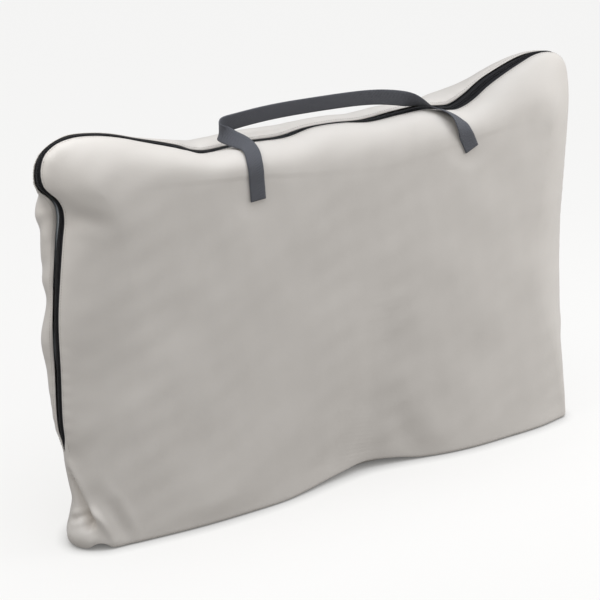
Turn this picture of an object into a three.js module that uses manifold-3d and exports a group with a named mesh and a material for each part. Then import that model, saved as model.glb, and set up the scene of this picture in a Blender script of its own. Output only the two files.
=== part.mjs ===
// Carry bag of a camp pillow: a flat zipped bag with two webbing handles, packed with its pillow.
// Millimetres, +Z up. The origin is the middle of the base, +X runs along the width, the front faces -Y,
// and the zip lies in the plane y = 0.
import * as THREE from 'three';
import Module from 'manifold-3d';

const wasm = await Module();
wasm.setup();

// ---- Driving dimensions -------------------------------------------------------------------------------

// Bag form
const HEIGHT = 610; // floor to the tips of the two upper corners
const SIDE_WIDTH = 888; // between the straight sides, along the zip
const DEPTH = 114;
const EAR_RISE = 58; // upper corners above the sagging top edge
const EAR_SPREAD = 14; // upper corners beyond the straight sides
const EAR_RADIUS = 62;
const EAR_NECK = 110; // length of the curve between a straight side and its upper corner
const SADDLE_HALF = 230; // half of the straight stretch of the top edge
const EDGE_ROUND = 42; // how far the flat faces stay inside the zip line
const FABRIC = 1.2; // coated fabric, with its lining and hem
const GAP = 0.3; // between pieces that touch

// Zip
const ZIP_FOOT = 142; // both lower ends of the zip above the floor
const ZIP_OPENING = 9.3; // from the zip's middle to the fabric's edge
const ZIP_TAPER = 6; // height over which the fabric's edges close below the zip
const TAPE_WIDTH = 15; // of each half
const TAPE = 0.6;
const COIL_INNER = 0.6;
const COIL_OUTER = 3.2;
const COIL_THICK = 2.0;
const STOP_LENGTH = 4;
const BOTTOM_STOP_LENGTH = 6;

// Slider and pull
const SLIDER_LENGTH = 12;
const SLIDER_HALF_WIDTH = 5;
const SLIDER_PLATE = 1.6;
const SLIDER_WEB = 0.6;
const SLIDER_FLANGE = 1.0;
const SLIDER_PLAY = 0.4;
const BRIDGE_LENGTH = 8;
const BRIDGE_WIDTH = 2.4;
const BRIDGE_WALL = 1.4;
const PULL_THICK = 1.6;
const PULL_LENGTH = 34;
const PULL_HALF_WIDTH = 4;
const PULL_EYE = 6;
const PULL_PLAY = 0.7;

// Handles
const WEBBING_WIDTH = 25;
const WEBBING = 1.6;
const SEWN_LENGTH = 26;
const HANDLE_SPACING = 378; // between the two sewn ends of a handle
const HANDLE_SHIFT = 36; // the front handle's middle, to the right of the bag's middle
const PATCH_WIDTH = 38;
const PATCH_HEIGHT = 32;
const PATCH = 1.0;
const STITCH = 0.4;
const STITCH_MARGIN = 3;
const STITCH_LINE = 1.2;
const FOLD_RISE = 13; // how far the hanging back handle rises before it turns down
const FOLD_REACH = 4.5;

// Seams and pillow
const BINDING_HEIGHT = 10;
const BINDING = 0.8;
const BINDING_MARGIN = 12;
const PILLOW_CLEARANCE = 7; // from the bag's outer skin to the pillow's cover
const PILLOW_COVER = 1.0;

// ---- Values that follow ---------------------------------------------------------------------------------

const halfWidth = SIDE_WIDTH / 2;
const halfDepth = DEPTH / 2;
const saddleHeight = HEIGHT - EAR_RISE;
const earX = halfWidth + EAR_SPREAD - EAR_RADIUS;
const earZ = HEIGHT - EAR_RADIUS;
const neckZ = earZ - EAR_NECK;
const tapeSkin = FABRIC + GAP; // depth of the zip tape's outer face under the bag's skin
const coilSkin = tapeSkin - GAP - COIL_THICK;
const anchorTop = saddleHeight - EDGE_ROUND + 2;
const strapPlane = halfDepth + GAP + WEBBING / 2;
const bothSides = [['front', -1], ['back', 1]];

const fabric = new THREE.MeshStandardMaterial({ color: '#bfbab4', roughness: 0.72, metalness: 0 });
const webbing = new THREE.MeshStandardMaterial({ color: '#4a4b50', roughness: 0.85, metalness: 0 });
const zipTape = new THREE.MeshStandardMaterial({ color: '#232226', roughness: 0.9, metalness: 0 });
const zipCoil = new THREE.MeshStandardMaterial({ color: '#2d2c31', roughness: 0.5, metalness: 0 });
const zipMetal = new THREE.MeshStandardMaterial({ color: '#3c3d40', roughness: 0.35, metalness: 1 });
const thread = new THREE.MeshStandardMaterial({ color: '#5d5e63', roughness: 0.8, metalness: 0 });
const pillowCloth = new THREE.MeshStandardMaterial({ color: '#e4e0d8', roughness: 0.9, metalness: 0 });
const pillowFibre = new THREE.MeshStandardMaterial({ color: '#f4f3f0', roughness: 1, metalness: 0 });

const bag = new THREE.Group();

function addPiece(name, geometry, material) {
  const mesh = new THREE.Mesh(geometry, material);
  mesh.name = name;
  bag.add(mesh);
  return mesh;
}

// ---- Closed bodies from points and triangles ------------------------------------------------------------

/** Makes a geometry from points and triangles, with its faces pointing out. */
function closedGeometry(points, triangles) {
  let volume = 0;
  for (const [a, b, c] of triangles) {
    volume += points[a].dot(new THREE.Vector3().crossVectors(points[b], points[c]));
  }
  const faces = volume < 0 ? triangles.map(([a, b, c]) => [a, c, b]) : triangles;
  const geometry = new THREE.BufferGeometry();
  geometry.setAttribute('position', new THREE.Float32BufferAttribute(points.flatMap((p) => p.toArray()), 3));
  geometry.setIndex(faces.flat());
  geometry.computeVertexNormals();
  return geometry;
}

/** Closes two matching open sheets, one outside the other, into a body with a rim along every free edge. */
function thickSheet(outer, inner) {
  const shift = outer.points.length;
  const triangles = outer.triangles.map((t) => [...t]);
  const edges = new Set();
  for (const [a, b, c] of outer.triangles) {
    triangles.push([c + shift, b + shift, a + shift]);
    [[a, b], [b, c], [c, a]].forEach(([from, to]) => edges.add(`${from},${to}`));
  }
  for (const edge of edges) {
    const [from, to] = edge.split(',').map(Number);
    if (!edges.has(`${to},${from}`)) {
      triangles.push([to, from, from + shift], [to, from + shift, to + shift]);
    }
  }
  return closedGeometry([...outer.points, ...inner.points], triangles);
}

function toSolid(geometry) {
  return new wasm.Manifold(new wasm.Mesh({
    numProp: 3,
    vertProperties: new Float32Array(geometry.getAttribute('position').array),
    triVerts: new Uint32Array(geometry.index.array),
  }));
}

function fromSolid(solid) {
  const mesh = solid.getMesh();
  const geometry = new THREE.BufferGeometry();
  geometry.setAttribute('position', new THREE.BufferAttribute(mesh.vertProperties, 3));
  geometry.setIndex(new THREE.BufferAttribute(mesh.triVerts, 1));
  geometry.computeVertexNormals();
  return geometry;
}

/** Extrudes an outline (an array of [u, v]) from w = start to w = end; place() turns u, v, w into a point. */
function prism(outline, start, end, place, holes = []) {
  const rings = [outline, ...holes].map((ring) => ring.map(([u, v]) => new THREE.Vector2(u, v)));
  const faces = THREE.ShapeUtils.triangulateShape(rings[0], rings.slice(1));
  const flat = rings.flat();
  const sheet = (w) => ({ points: flat.map((p) => place(p.x, p.y, w)), triangles: faces });
  return thickSheet(sheet(end), sheet(start));
}

// ---- The bag's skin -------------------------------------------------------------------------------------

/** Samples the zip line from the left foot over the top to the right foot, with its outward normals. */
function zipLine(leftLevels, rightLevels) {
  const riseRight = (levels) => levels.map((z) => ({ x: halfWidth, z, nx: 1, nz: 0 }));
  const neck = new THREE.CubicBezierCurve(
    new THREE.Vector2(halfWidth, neckZ), new THREE.Vector2(halfWidth, neckZ + EAR_NECK * 0.4),
    new THREE.Vector2(earX + EAR_RADIUS, earZ - EAR_NECK * 0.4), new THREE.Vector2(earX + EAR_RADIUS, earZ));
  const ear = new THREE.EllipseCurve(earX, earZ, EAR_RADIUS, EAR_RADIUS, 0, Math.PI / 2, false);
  const shoulderRun = earX - SADDLE_HALF;
  const shoulder = new THREE.CubicBezierCurve(
    new THREE.Vector2(earX, HEIGHT), new THREE.Vector2(earX - shoulderRun * 0.42, HEIGHT),
    new THREE.Vector2(SADDLE_HALF + shoulderRun * 0.38, saddleHeight),
    new THREE.Vector2(SADDLE_HALF, saddleHeight));
  const curved = [];
  for (const [curve, steps] of [[neck, 5], [ear, 7], [shoulder, 8]]) {
    for (let i = 0; i < steps; i += 1) {
      const point = curve.getPointAt(i / steps);
      const along = curve.getTangentAt(i / steps);
      curved.push({ x: point.x, z: point.y, nx: along.y, nz: -along.x });
    }
  }
  const top = [1, 1 / 3].map((share) => ({ x: SADDLE_HALF * share, z: saddleHeight, nx: 0, nz: 1 }));
  const right = (levels) => [...riseRight(levels), ...curved, ...top];
  const left = right(leftLevels).map((p) => ({ ...p, x: -p.x, nx: -p.nx }));
  return [...left, ...right(rightLevels).reverse()];
}

/** A point of the skin `inset` under the outside, `angle` round from the zip towards a face. */
function skinPoint(p, inset, angle) {
  const inward = inset + (EDGE_ROUND - inset) * (1 - Math.cos(angle));
  return new THREE.Vector3(p.x - p.nx * inward, (halfDepth - inset) * Math.sin(angle), p.z - p.nz * inward);
}

/** A sheet of skin over the columns of a zip line. anglesAt(column) gives the same count of angles for each. */
function skinSheet(columns, inset, anglesAt, faces = []) {
  const points = columns.flatMap((p) => anglesAt(p).map((angle) => skinPoint(p, inset, angle)));
  const rows = anglesAt(columns[0]).length;
  const triangles = [];
  for (let i = 0; i + 1 < columns.length; i += 1) {
    for (let j = 0; j + 1 < rows; j += 1) {
      const a = i * rows + j;
      triangles.push([a, a + rows, a + rows + 1], [a, a + rows + 1, a + 1]);
    }
  }
  for (const row of faces) {
    const ring = columns.map((p, i) => i * rows + row);
    const outline = ring.map((k) => new THREE.Vector2(points[k].x, points[k].z));
    for (const [a, b, c] of THREE.ShapeUtils.triangulateShape(outline, [])) {
      const face = [ring[a], ring[b], ring[c]];
      triangles.push(row > 0 ? face.reverse() : face);
    }
  }
  return { points, triangles };
}

function anglesBetween(start, end, steps) {
  return Array.from({ length: steps + 1 }, (_, i) => start + (end - start) * (i / steps));
}

const angleOf = (y) => Math.asin(y / halfDepth);
const roundAngles = anglesBetween(angleOf(TAPE_WIDTH), Math.PI / 2, 4); // from the tape's edge to a flat face
const straightLevels = (first, ...more) => [first, ...more, (neckZ + ZIP_FOOT) / 2];
const zipColumns = zipLine(straightLevels(ZIP_FOOT), straightLevels(ZIP_FOOT));

for (const [side, sign] of bothSides) {
  const foot = ZIP_FOOT - GAP;
  const panelLevels = straightLevels(0, foot - ZIP_TAPER, foot);
  const edgeAt = (p) => (p.z < foot - ZIP_TAPER / 2 ? GAP / 2 : ZIP_OPENING);
  const panelAngles = (p) => [angleOf(edgeAt(p)), ...roundAngles].map((angle) => sign * angle);
  const columns = zipLine(panelLevels, panelLevels);
  const panel = (inset) => skinSheet(columns, inset, panelAngles, [5]);
  addPiece(`${side}_panel`, thickSheet(panel(0), panel(FABRIC)), fabric);

  const tapeAngles = () => [COIL_INNER, ZIP_OPENING, TAPE_WIDTH].map((y) => sign * angleOf(y));
  const tape = (inset) => skinSheet(zipColumns, inset, tapeAngles);
  addPiece(`zip_tape_${side}`, thickSheet(tape(tapeSkin), tape(tapeSkin + TAPE)), zipTape);

  const coilColumns = zipLine(
    straightLevels(ZIP_FOOT + BOTTOM_STOP_LENGTH + 2 * GAP), straightLevels(ZIP_FOOT + STOP_LENGTH + 2 * GAP));
  const coilAngles = () => [angleOf(COIL_INNER), angleOf(COIL_OUTER)].map((a) => sign * a);
  const coil = (inset) => skinSheet(coilColumns, inset, coilAngles);
  addPiece(`zip_coil_${side}`, thickSheet(coil(coilSkin), coil(coilSkin + COIL_THICK)), zipCoil);
}

// Bottom panel, inside the lower edges of the two panels
const baseInset = FABRIC + GAP;
const wholeRound = [...roundAngles.map((angle) => -angle).reverse(), ...roundAngles];
const baseRight = wholeRound
  .map((angle) => skinPoint({ x: halfWidth, z: 0, nx: 1, nz: 0 }, baseInset, angle));
const baseOutline = [1, -1].flatMap((turn) => baseRight.map((p) => [turn * p.x, turn * p.y]));
const upright = (u, v, w) => new THREE.Vector3(u, v, w);
addPiece('bottom_panel', prism(baseOutline, 0, FABRIC, upright), fabric);

// Bindings inside the two long bottom seams, and tapes inside the two short side seams
const innerFace = halfDepth - FABRIC - GAP;
for (const [side, sign] of bothSides) {
  const length = 2 * (halfWidth - EDGE_ROUND - BINDING_MARGIN);
  const binding = new THREE.BoxGeometry(length, BINDING, BINDING_HEIGHT);
  addPiece(`bottom_seam_binding_${side}`, binding, zipTape)
    .position.set(0, sign * (innerFace - BINDING / 2), FABRIC + GAP + BINDING_HEIGHT / 2);
}
for (const [side, sign] of [['left', -1], ['right', 1]]) {
  const columns = [FABRIC + GAP, ZIP_FOOT - 2 * GAP].map((z) => ({ x: sign * halfWidth, z, nx: sign, nz: 0 }));
  const angles = () => [-angleOf(TAPE_WIDTH), 0, angleOf(TAPE_WIDTH)];
  const strip = (inset) => skinSheet(columns, inset, angles);
  addPiece(`side_seam_tape_${side}`, thickSheet(strip(tapeSkin), strip(tapeSkin + TAPE)), zipTape);
}

// ---- Zip stops, slider and pull -------------------------------------------------------------------------

const stopDepth = COIL_THICK + 0.2;
const stopWidth = COIL_OUTER - COIL_INNER + 0.2;
for (const [side, sign] of bothSides) {
  addPiece(`zip_stop_${side}`, new THREE.BoxGeometry(stopDepth, stopWidth, STOP_LENGTH), zipMetal)
    .position.set(
      halfWidth - tapeSkin + GAP + stopDepth / 2, sign * (COIL_INNER + stopWidth / 2),
      ZIP_FOOT + GAP + STOP_LENGTH / 2);
}
const bottomStopWidth = 2 * (COIL_INNER + stopWidth);
addPiece('zip_bottom_stop', new THREE.BoxGeometry(stopDepth, bottomStopWidth, BOTTOM_STOP_LENGTH), zipMetal)
  .position.set(-halfWidth + tapeSkin - GAP - stopDepth / 2, 0, ZIP_FOOT + GAP + BOTTOM_STOP_LENGTH / 2);

// The slider's section, in (distance outside the bag's skin, y): an outer plate with two flanges that reach
// round the coils, a thin web between the coils, and an inner plate under the tapes.
const plateInside = SLIDER_PLAY - coilSkin;
const plateOutside = plateInside + SLIDER_PLATE;
const flangeFoot = SLIDER_PLAY - tapeSkin;
const flangeInner = COIL_OUTER + SLIDER_PLAY;
const tapeDrop = EDGE_ROUND * (1 - Math.cos(angleOf(ZIP_OPENING))) * (SLIDER_HALF_WIDTH / ZIP_OPENING);
const lowerTop = -(tapeSkin + TAPE + tapeDrop + SLIDER_PLAY / 2);
const lowerFoot = lowerTop - SLIDER_PLATE;
const halfSection = [
  [lowerFoot, SLIDER_HALF_WIDTH], [lowerTop, SLIDER_HALF_WIDTH], [lowerTop, SLIDER_WEB / 2],
  [plateInside, SLIDER_WEB / 2], [plateInside, flangeInner], [flangeFoot, flangeInner],
  [flangeFoot, flangeInner + SLIDER_FLANGE], [plateInside, flangeInner + SLIDER_FLANGE],
  [plateInside, SLIDER_HALF_WIDTH], [plateOutside, SLIDER_HALF_WIDTH],
];
const section = [...halfSection, ...halfSection.map(([out, y]) => [out, -y]).reverse()];
const sliderFoot = ZIP_FOOT + STOP_LENGTH + 3 * GAP;
const sliderMiddle = sliderFoot + SLIDER_LENGTH / 2;
const onSide = (u, v, w) => new THREE.Vector3(halfWidth + u, v, w);
const body = prism(section, sliderFoot, sliderFoot + SLIDER_LENGTH, onSide);

// The bridge holds the pull's crossbar, with room for the bar to turn.
const barCentre = plateOutside + PULL_PLAY + PULL_THICK / 2;
const bridgeRoom = barCentre + PULL_THICK / 2 + PULL_PLAY;
const bridgeTop = bridgeRoom + BRIDGE_WALL;
const bridgeHalf = BRIDGE_LENGTH / 2;
const alongZip = (u, v, w) => new THREE.Vector3(halfWidth + u, w, sliderMiddle + v);
const legInner = bridgeHalf - BRIDGE_WALL;
const legFoot = plateOutside - SLIDER_PLATE / 2;
const bridge = prism([
  [legFoot, bridgeHalf], [bridgeTop - BRIDGE_WALL / 2, bridgeHalf], [bridgeTop, bridgeHalf - BRIDGE_WALL / 2],
  [bridgeTop, BRIDGE_WALL / 2 - bridgeHalf], [bridgeTop - BRIDGE_WALL / 2, -bridgeHalf],
  [legFoot, -bridgeHalf], [legFoot, -legInner], [bridgeRoom, -legInner], [bridgeRoom, legInner],
  [legFoot, legInner],
], -BRIDGE_WIDTH / 2, BRIDGE_WIDTH / 2, alongZip);
addPiece('zip_slider', fromSolid(toSolid(body).add(toSolid(bridge))), zipMetal);

// The pull hangs down: a tapered plate with rounded ends and an eye that leaves the crossbar.
const pullTop = PULL_THICK / 2;
const eyeHalf = BRIDGE_WIDTH / 2 + SLIDER_PLAY;
const tipRadius = PULL_HALF_WIDTH;
const tipCentre = pullTop - PULL_LENGTH + tipRadius;
const tip = anglesBetween(0, Math.PI, 8)
  .map((a) => [Math.cos(a) * tipRadius, tipCentre - Math.sin(a) * tipRadius]);
const collar = eyeHalf + 1.4;
const pullOutline = [
  [-collar, pullTop], [collar, pullTop], [collar, -PULL_THICK / 2 - PULL_EYE - 2], ...tip,
  [-collar, -PULL_THICK / 2 - PULL_EYE - 2],
];
const eye = [
  [-eyeHalf, -PULL_THICK / 2], [-eyeHalf, -PULL_THICK / 2 - PULL_EYE],
  [eyeHalf, -PULL_THICK / 2 - PULL_EYE], [eyeHalf, -PULL_THICK / 2],
];
const flatOnSide = (u, v, w) => new THREE.Vector3(halfWidth + barCentre + w, u, sliderMiddle + v);
addPiece('zip_pull', prism(pullOutline, -PULL_THICK / 2, PULL_THICK / 2, flatOnSide, [eye]), zipMetal);

// ---- Webbing handles ------------------------------------------------------------------------------------

/** Webbing along points [x, y, z] with its width along the matching directions. */
function webbingAlong(route, widths, steps) {
  const centre = new THREE.CatmullRomCurve3(route.map((p) => new THREE.Vector3(...p)), false, 'catmullrom');
  const across = new THREE.CatmullRomCurve3(widths.map((w) => new THREE.Vector3(...w)), false, 'catmullrom');
  const outer = { points: [], triangles: [] };
  const inner = { points: [], triangles: [] };
  for (let i = 0; i <= steps; i += 1) {
    const along = centre.getTangent(i / steps);
    const width = across.getPoint(i / steps);
    width.addScaledVector(along, -width.dot(along)).setLength(WEBBING_WIDTH / 2);
    const normal = new THREE.Vector3().crossVectors(along, width).setLength(WEBBING / 2);
    for (const edge of [-1, 1]) {
      const point = centre.getPoint(i / steps).addScaledVector(width, edge);
      outer.points.push(point.clone().add(normal));
      inner.points.push(point.clone().sub(normal));
    }
    if (i > 0) {
      const a = 2 * i;
      outer.triangles.push([a - 2, a - 1, a + 1], [a - 2, a + 1, a]);
    }
  }
  return thickSheet(outer, inner);
}

// A sewn end: from its lower edge to the height where the webbing leaves the panel. `lean` is how far its
// top stands to the side of its bottom.
function sewnEnd(name, side, sign, x, lean) {
  const foot = [x - lean, sign * strapPlane, anchorTop - SEWN_LENGTH];
  const head = [x, sign * strapPlane, anchorTop];
  const flatWidth = [SEWN_LENGTH, 0, -lean];
  const fold = [[x, sign * (strapPlane + 0.6), anchorTop + FOLD_RISE * 0.6]];
  fold.push([x, sign * (strapPlane + FOLD_REACH * 0.35), anchorTop + FOLD_RISE * 0.9]);
  fold.push([x, sign * (strapPlane + FOLD_REACH * 0.7), anchorTop + FOLD_RISE]);
  fold.push([x, sign * (strapPlane + FOLD_REACH), anchorTop + FOLD_RISE]);
  const route = side === 'back' ? [foot, head, ...fold] : [foot, head];
  const widths = route.map(() => (side === 'back' ? [1, 0, 0] : flatWidth));
  addPiece(`handle_end_${side}_${name}`, webbingAlong(route, widths, side === 'back' ? 10 : 1), webbing);

  const patch = new THREE.BoxGeometry(PATCH_WIDTH, PATCH, PATCH_HEIGHT);
  const patchTop = saddleHeight - EDGE_ROUND - 1;
  addPiece(`handle_patch_${side}_${name}`, patch, fabric)
    .position.set(x - lean / 2, sign * (innerFace - PATCH / 2), patchTop - PATCH_HEIGHT / 2);

  // The box of stitching with its cross: one frame with four triangular windows.
  const half = WEBBING_WIDTH / 2 - STITCH_MARGIN;
  const tall = SEWN_LENGTH / 2 - STITCH_MARGIN;
  const frame = [[-half, -tall], [half, -tall], [half, tall], [-half, tall]];
  const corner = STITCH_LINE * 1.9;
  const windows = [-1, 1].flatMap((s) => [
    [[s * (half - corner), s * (tall - STITCH_LINE)], [s * (corner - half), s * (tall - STITCH_LINE)],
      [0, s * STITCH_LINE]],
    [[s * (half - STITCH_LINE), s * (corner - tall)], [s * (half - STITCH_LINE), s * (tall - corner)],
      [s * STITCH_LINE, 0]],
  ]);
  const turn = Math.atan2(lean, SEWN_LENGTH);
  const face = strapPlane + WEBBING / 2 + GAP;
  const middleZ = anchorTop - SEWN_LENGTH / 2;
  const onEnd = (u, v, w) => new THREE.Vector3(
    x - lean / 2 + u * Math.cos(turn) + v * Math.sin(turn), sign * w,
    middleZ - u * Math.sin(turn) + v * Math.cos(turn));
  addPiece(`handle_stitch_${side}_${name}`, prism(frame, face, face + STITCH, onEnd, windows), thread);
}

const frontLeft = HANDLE_SHIFT - HANDLE_SPACING / 2;
const frontRight = HANDLE_SHIFT + HANDLE_SPACING / 2;
sewnEnd('left', 'front', -1, frontLeft - 2, -2);
sewnEnd('right', 'front', -1, frontRight - 7, -5.5);
sewnEnd('left', 'back', 1, -HANDLE_SPACING / 2, 0);
sewnEnd('right', 'back', 1, HANDLE_SPACING / 2, 0);

// The front handle stands up from its two ends and leans back over the top. Each row holds a point of its
// middle line, from the left end to the right one, and the direction of its width. Points at the left end
// are measured from that end's head, and points at the right end from the other one.
const frontRoute = [
  ['left', [0, 0, GAP], [1, 0, 0.08]],
  ['left', [-0.8, 0, 10], [1, 0, 0.1]],
  ['left', [-2, 6, 27], [0.95, 0.3, 0.2]],
  ['left', [-8, 20, 46], [0.6, 0.5, 0.6]],
  ['left', [-20, 36, 58], [0.15, 0.3, 0.95]],
  ['left', [-25, 50, 64], [0, 0.1, 1]],
  ['left', [-17, 62, 70], [0, 0, 1]],
  ['left', [8, 65, 74], [0, -0.1, 1]],
  ['left', [60, 63, 78], [0, -0.2, 1]],
  ['left', [120, 60, 78], [0, -0.25, 1]],
  ['right', [-148, 56, 76], [0, -0.25, 1]],
  ['right', [-108, 52, 72], [0, -0.2, 1]],
  ['right', [-75, 46, 65], [-0.2, -0.1, 1]],
  ['right', [-52, 37, 58], [-0.65, 0.1, 0.75]],
  ['right', [-34, 25, 48], [-0.9, 0.1, 0.4]],
  ['right', [-18, 12, 33], [-0.97, 0, 0]],
  ['right', [-6, 3, 20], [-0.98, 0, -0.18]],
  ['right', [-2.2, 0, 10], [-0.98, 0, -0.2]],
  ['right', [0, 0, GAP], [-0.98, 0, -0.2]],
];
const heads = { left: frontLeft - 2, right: frontRight - 7 };
addPiece('front_handle', webbingAlong(
  frontRoute.map(([end, [x, y, z]]) => [heads[end] + x, y - strapPlane, anchorTop + z]),
  frontRoute.map(([, , width]) => width), 56), webbing);

// The back handle turns over outwards at its two ends and hangs down behind the bag.
const backHalf = [
  [[0, FOLD_REACH + GAP, FOLD_RISE], [1, 0, 0]],
  [[0, FOLD_REACH + 2, FOLD_RISE], [1, 0, 0]],
  [[0, FOLD_REACH + 5.5, FOLD_RISE - 3], [1, 0, 0]],
  [[-1, FOLD_REACH + 8, FOLD_RISE - 14], [1, 0.05, 0]],
  [[-5, FOLD_REACH + 11, -22], [0.9, 0.35, 0]],
  [[-13, FOLD_REACH + 13, -46], [0.55, 0.8, 0.1]],
  [[-30, FOLD_REACH + 15, -70], [0.2, 1, 0.2]],
  [[-62, FOLD_REACH + 16, -91], [0, 1, 0.25]],
  [[-110, FOLD_REACH + 17, -103], [0, 1, 0.3]],
];
const backSide = (s) => backHalf.map(([[x, y, z], [u, v, w]]) => [
  [s * (HANDLE_SPACING / 2 + x), strapPlane + y, anchorTop + z], [s * u, v, w]]);
const backRoute = [...backSide(1), ...backSide(-1).reverse()];
addPiece('back_handle', webbingAlong(
  backRoute.map(([point]) => point), backRoute.map(([, width]) => width), 48), webbing);

// ---- The packed pillow ----------------------------------------------------------------------------------

// The cover is open along its foot, where the filling goes in.
const pillowColumns = (foot) => zipLine(straightLevels(foot), straightLevels(foot));
const pillowFoot = FABRIC + GAP;
const lastRow = wholeRound.length - 1;
const cover = (inset) => skinSheet(pillowColumns(pillowFoot), inset, () => wholeRound, [0, lastRow]);
addPiece(
  'pillow_cover', thickSheet(cover(PILLOW_CLEARANCE), cover(PILLOW_CLEARANCE + PILLOW_COVER)), pillowCloth);

const fillColumns = pillowColumns(pillowFoot);
const filling = skinSheet(fillColumns, PILLOW_CLEARANCE + PILLOW_COVER + GAP, () => wholeRound, [0, lastRow]);
const rowCount = wholeRound.length;
const lastColumn = (fillColumns.length - 1) * rowCount;
const footRing = [
  ...Array.from({ length: rowCount }, (_, j) => j),
  ...Array.from({ length: rowCount }, (_, j) => lastColumn + rowCount - 1 - j)];
const footOutline = footRing.map((k) => new THREE.Vector2(filling.points[k].x, filling.points[k].y));
for (const [a, b, c] of THREE.ShapeUtils.triangulateShape(footOutline, [])) {
  filling.triangles.push([footRing[c], footRing[b], footRing[a]]);
}
addPiece('pillow_filling', closedGeometry(filling.points, filling.triangles), pillowFibre);

export default bag;
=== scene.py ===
"""A camp pillow packed in its zipped carry bag.

The bag is cut from coated cloth as a front, a back and a bottom panel. One long zip runs up the
left side, over the top and down the right side. Two webbing handles are sewn on outside, and the
pillow inside gives the bag its soft, slightly saddle-backed shape.

Lengths in this script are millimetres until a mesh is made, and then metres.
"""

from __future__ import annotations

import logging
import math
from dataclasses import dataclass, field
from enum import Enum

import bpy
import numpy as np
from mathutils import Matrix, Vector
from mathutils.bvhtree import BVHTree

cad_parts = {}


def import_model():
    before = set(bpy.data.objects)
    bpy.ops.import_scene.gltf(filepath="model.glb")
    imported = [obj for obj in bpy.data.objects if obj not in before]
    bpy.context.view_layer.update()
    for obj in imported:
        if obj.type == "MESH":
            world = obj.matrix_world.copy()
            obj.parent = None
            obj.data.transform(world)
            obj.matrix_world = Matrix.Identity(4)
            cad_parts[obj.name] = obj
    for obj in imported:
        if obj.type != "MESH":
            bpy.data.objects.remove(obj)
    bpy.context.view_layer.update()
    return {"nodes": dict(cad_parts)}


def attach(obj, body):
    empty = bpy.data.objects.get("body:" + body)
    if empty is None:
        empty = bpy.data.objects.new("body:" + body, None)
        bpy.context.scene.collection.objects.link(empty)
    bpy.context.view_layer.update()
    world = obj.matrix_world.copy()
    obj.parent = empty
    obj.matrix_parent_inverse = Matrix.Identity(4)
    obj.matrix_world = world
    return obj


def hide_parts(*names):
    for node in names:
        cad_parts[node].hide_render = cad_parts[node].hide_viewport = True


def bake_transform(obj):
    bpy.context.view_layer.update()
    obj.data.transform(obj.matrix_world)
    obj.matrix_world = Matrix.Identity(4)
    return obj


LOG = logging.getLogger("camp_pillow")
MM = 0.001
WEAVE_MAP = "weave"

Point = tuple[float, ...]


# ---------------------------------------------------------------- lines, grids and meshes


def smooth_between(low: float, high: float, value: np.ndarray) -> np.ndarray:
    """Rises smoothly from 0 to 1.

    Args:
        low: where the rise starts.
        high: where it ends.
        value: the numbers to read it at.

    Returns:
        The share, from 0 to 1, for each number.
    """
    t = np.clip((value - low) / (high - low), 0.0, 1.0)
    return t * t * (3 - 2 * t)


def through(points: list[Point], steps: int = 16) -> np.ndarray:
    """Draws a smooth curve through points.

    Args:
        points: the points, in order, of any one dimension.
        steps: pieces between two points.

    Returns:
        The curve's points, one row each.
    """
    p = np.array(points, float)
    knot = np.concatenate([[0], np.cumsum(np.linalg.norm(np.diff(p, axis=0), axis=1) ** 0.5)])
    slope = np.diff(p, axis=0) / np.diff(knot)[:, None]
    tangent = np.empty_like(p)
    tangent[0], tangent[-1] = slope[0], slope[-1]
    wide = (p[2:] - p[:-2]) / (knot[2:] - knot[:-2])[:, None]
    tangent[1:-1] = slope[1:] + slope[:-1] - wide
    t = np.linspace(0, 1, steps, endpoint=False)[None, :, None]
    span = np.diff(knot)[:, None, None]
    a, b = p[:-1, None], p[1:, None]
    m, n = tangent[:-1, None] * span, tangent[1:, None] * span
    curve = (
        (2 * t**3 - 3 * t**2 + 1) * a
        + (t**3 - 2 * t**2 + t) * m
        + (3 * t**2 - 2 * t**3) * b
        + (t**3 - t**2) * n
    )
    return np.vstack([curve.reshape(-1, p.shape[1]), p[-1]])


class Line:
    """A smooth line through a few points, read by the length along it."""

    def __init__(self, points: list[Point], measured: int | None = None) -> None:
        """Draws the line.

        Args:
            points: what it passes through.
            measured: how many of the leading numbers of a point are its place; None means all.
        """
        self.points = through(points)
        place = self.points[:, :measured]
        steps = np.linalg.norm(np.diff(place, axis=0), axis=1)
        self.along = np.concatenate([[0], np.cumsum(steps)])
        self.place = place

    @property
    def length(self) -> float:
        """The whole length."""
        return float(self.along[-1])

    def at(self, along: np.ndarray | float) -> np.ndarray:
        """The line's points at these lengths along it."""
        read = [np.interp(along, self.along, column) for column in self.points.T]
        return np.stack(read, axis=-1)

    def nearest(self, point: Point) -> float:
        """The length along the line at which it passes nearest to a point."""
        away = np.linalg.norm(self.place[:, : len(point)] - np.array(point), axis=1)
        return float(self.along[away.argmin()])


def unit(vectors: np.ndarray) -> np.ndarray:
    """The same directions at length 1."""
    return vectors / np.maximum(np.linalg.norm(vectors, axis=-1, keepdims=True), 1e-12)


def mesh_object(
    name: str,
    points: np.ndarray,
    faces: list[tuple[int, ...]],
    weave: np.ndarray | None = None,
) -> bpy.types.Object:
    """Makes a smooth-shaded object from points in millimetres.

    Args:
        name: the object's name.
        points: one row for each vertex.
        faces: vertex numbers of each face, counter-clockwise from outside.
        weave: for each vertex, millimetres across and along the cloth, for woven patterns.

    Returns:
        The new object.
    """
    data = bpy.data.meshes.new(name)
    data.from_pydata((points * MM).tolist(), [], faces)
    data.polygons.foreach_set("use_smooth", [True] * len(data.polygons))
    if weave is not None:
        corner = np.empty(len(data.loops), np.int32)
        data.loops.foreach_get("vertex_index", corner)
        layer = data.uv_layers.new(name=WEAVE_MAP)
        layer.data.foreach_set("uv", weave[corner].astype(np.float32).ravel())
    data.update()
    made = bpy.data.objects.new(name, data)
    bpy.context.scene.collection.objects.link(made)
    return made


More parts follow.
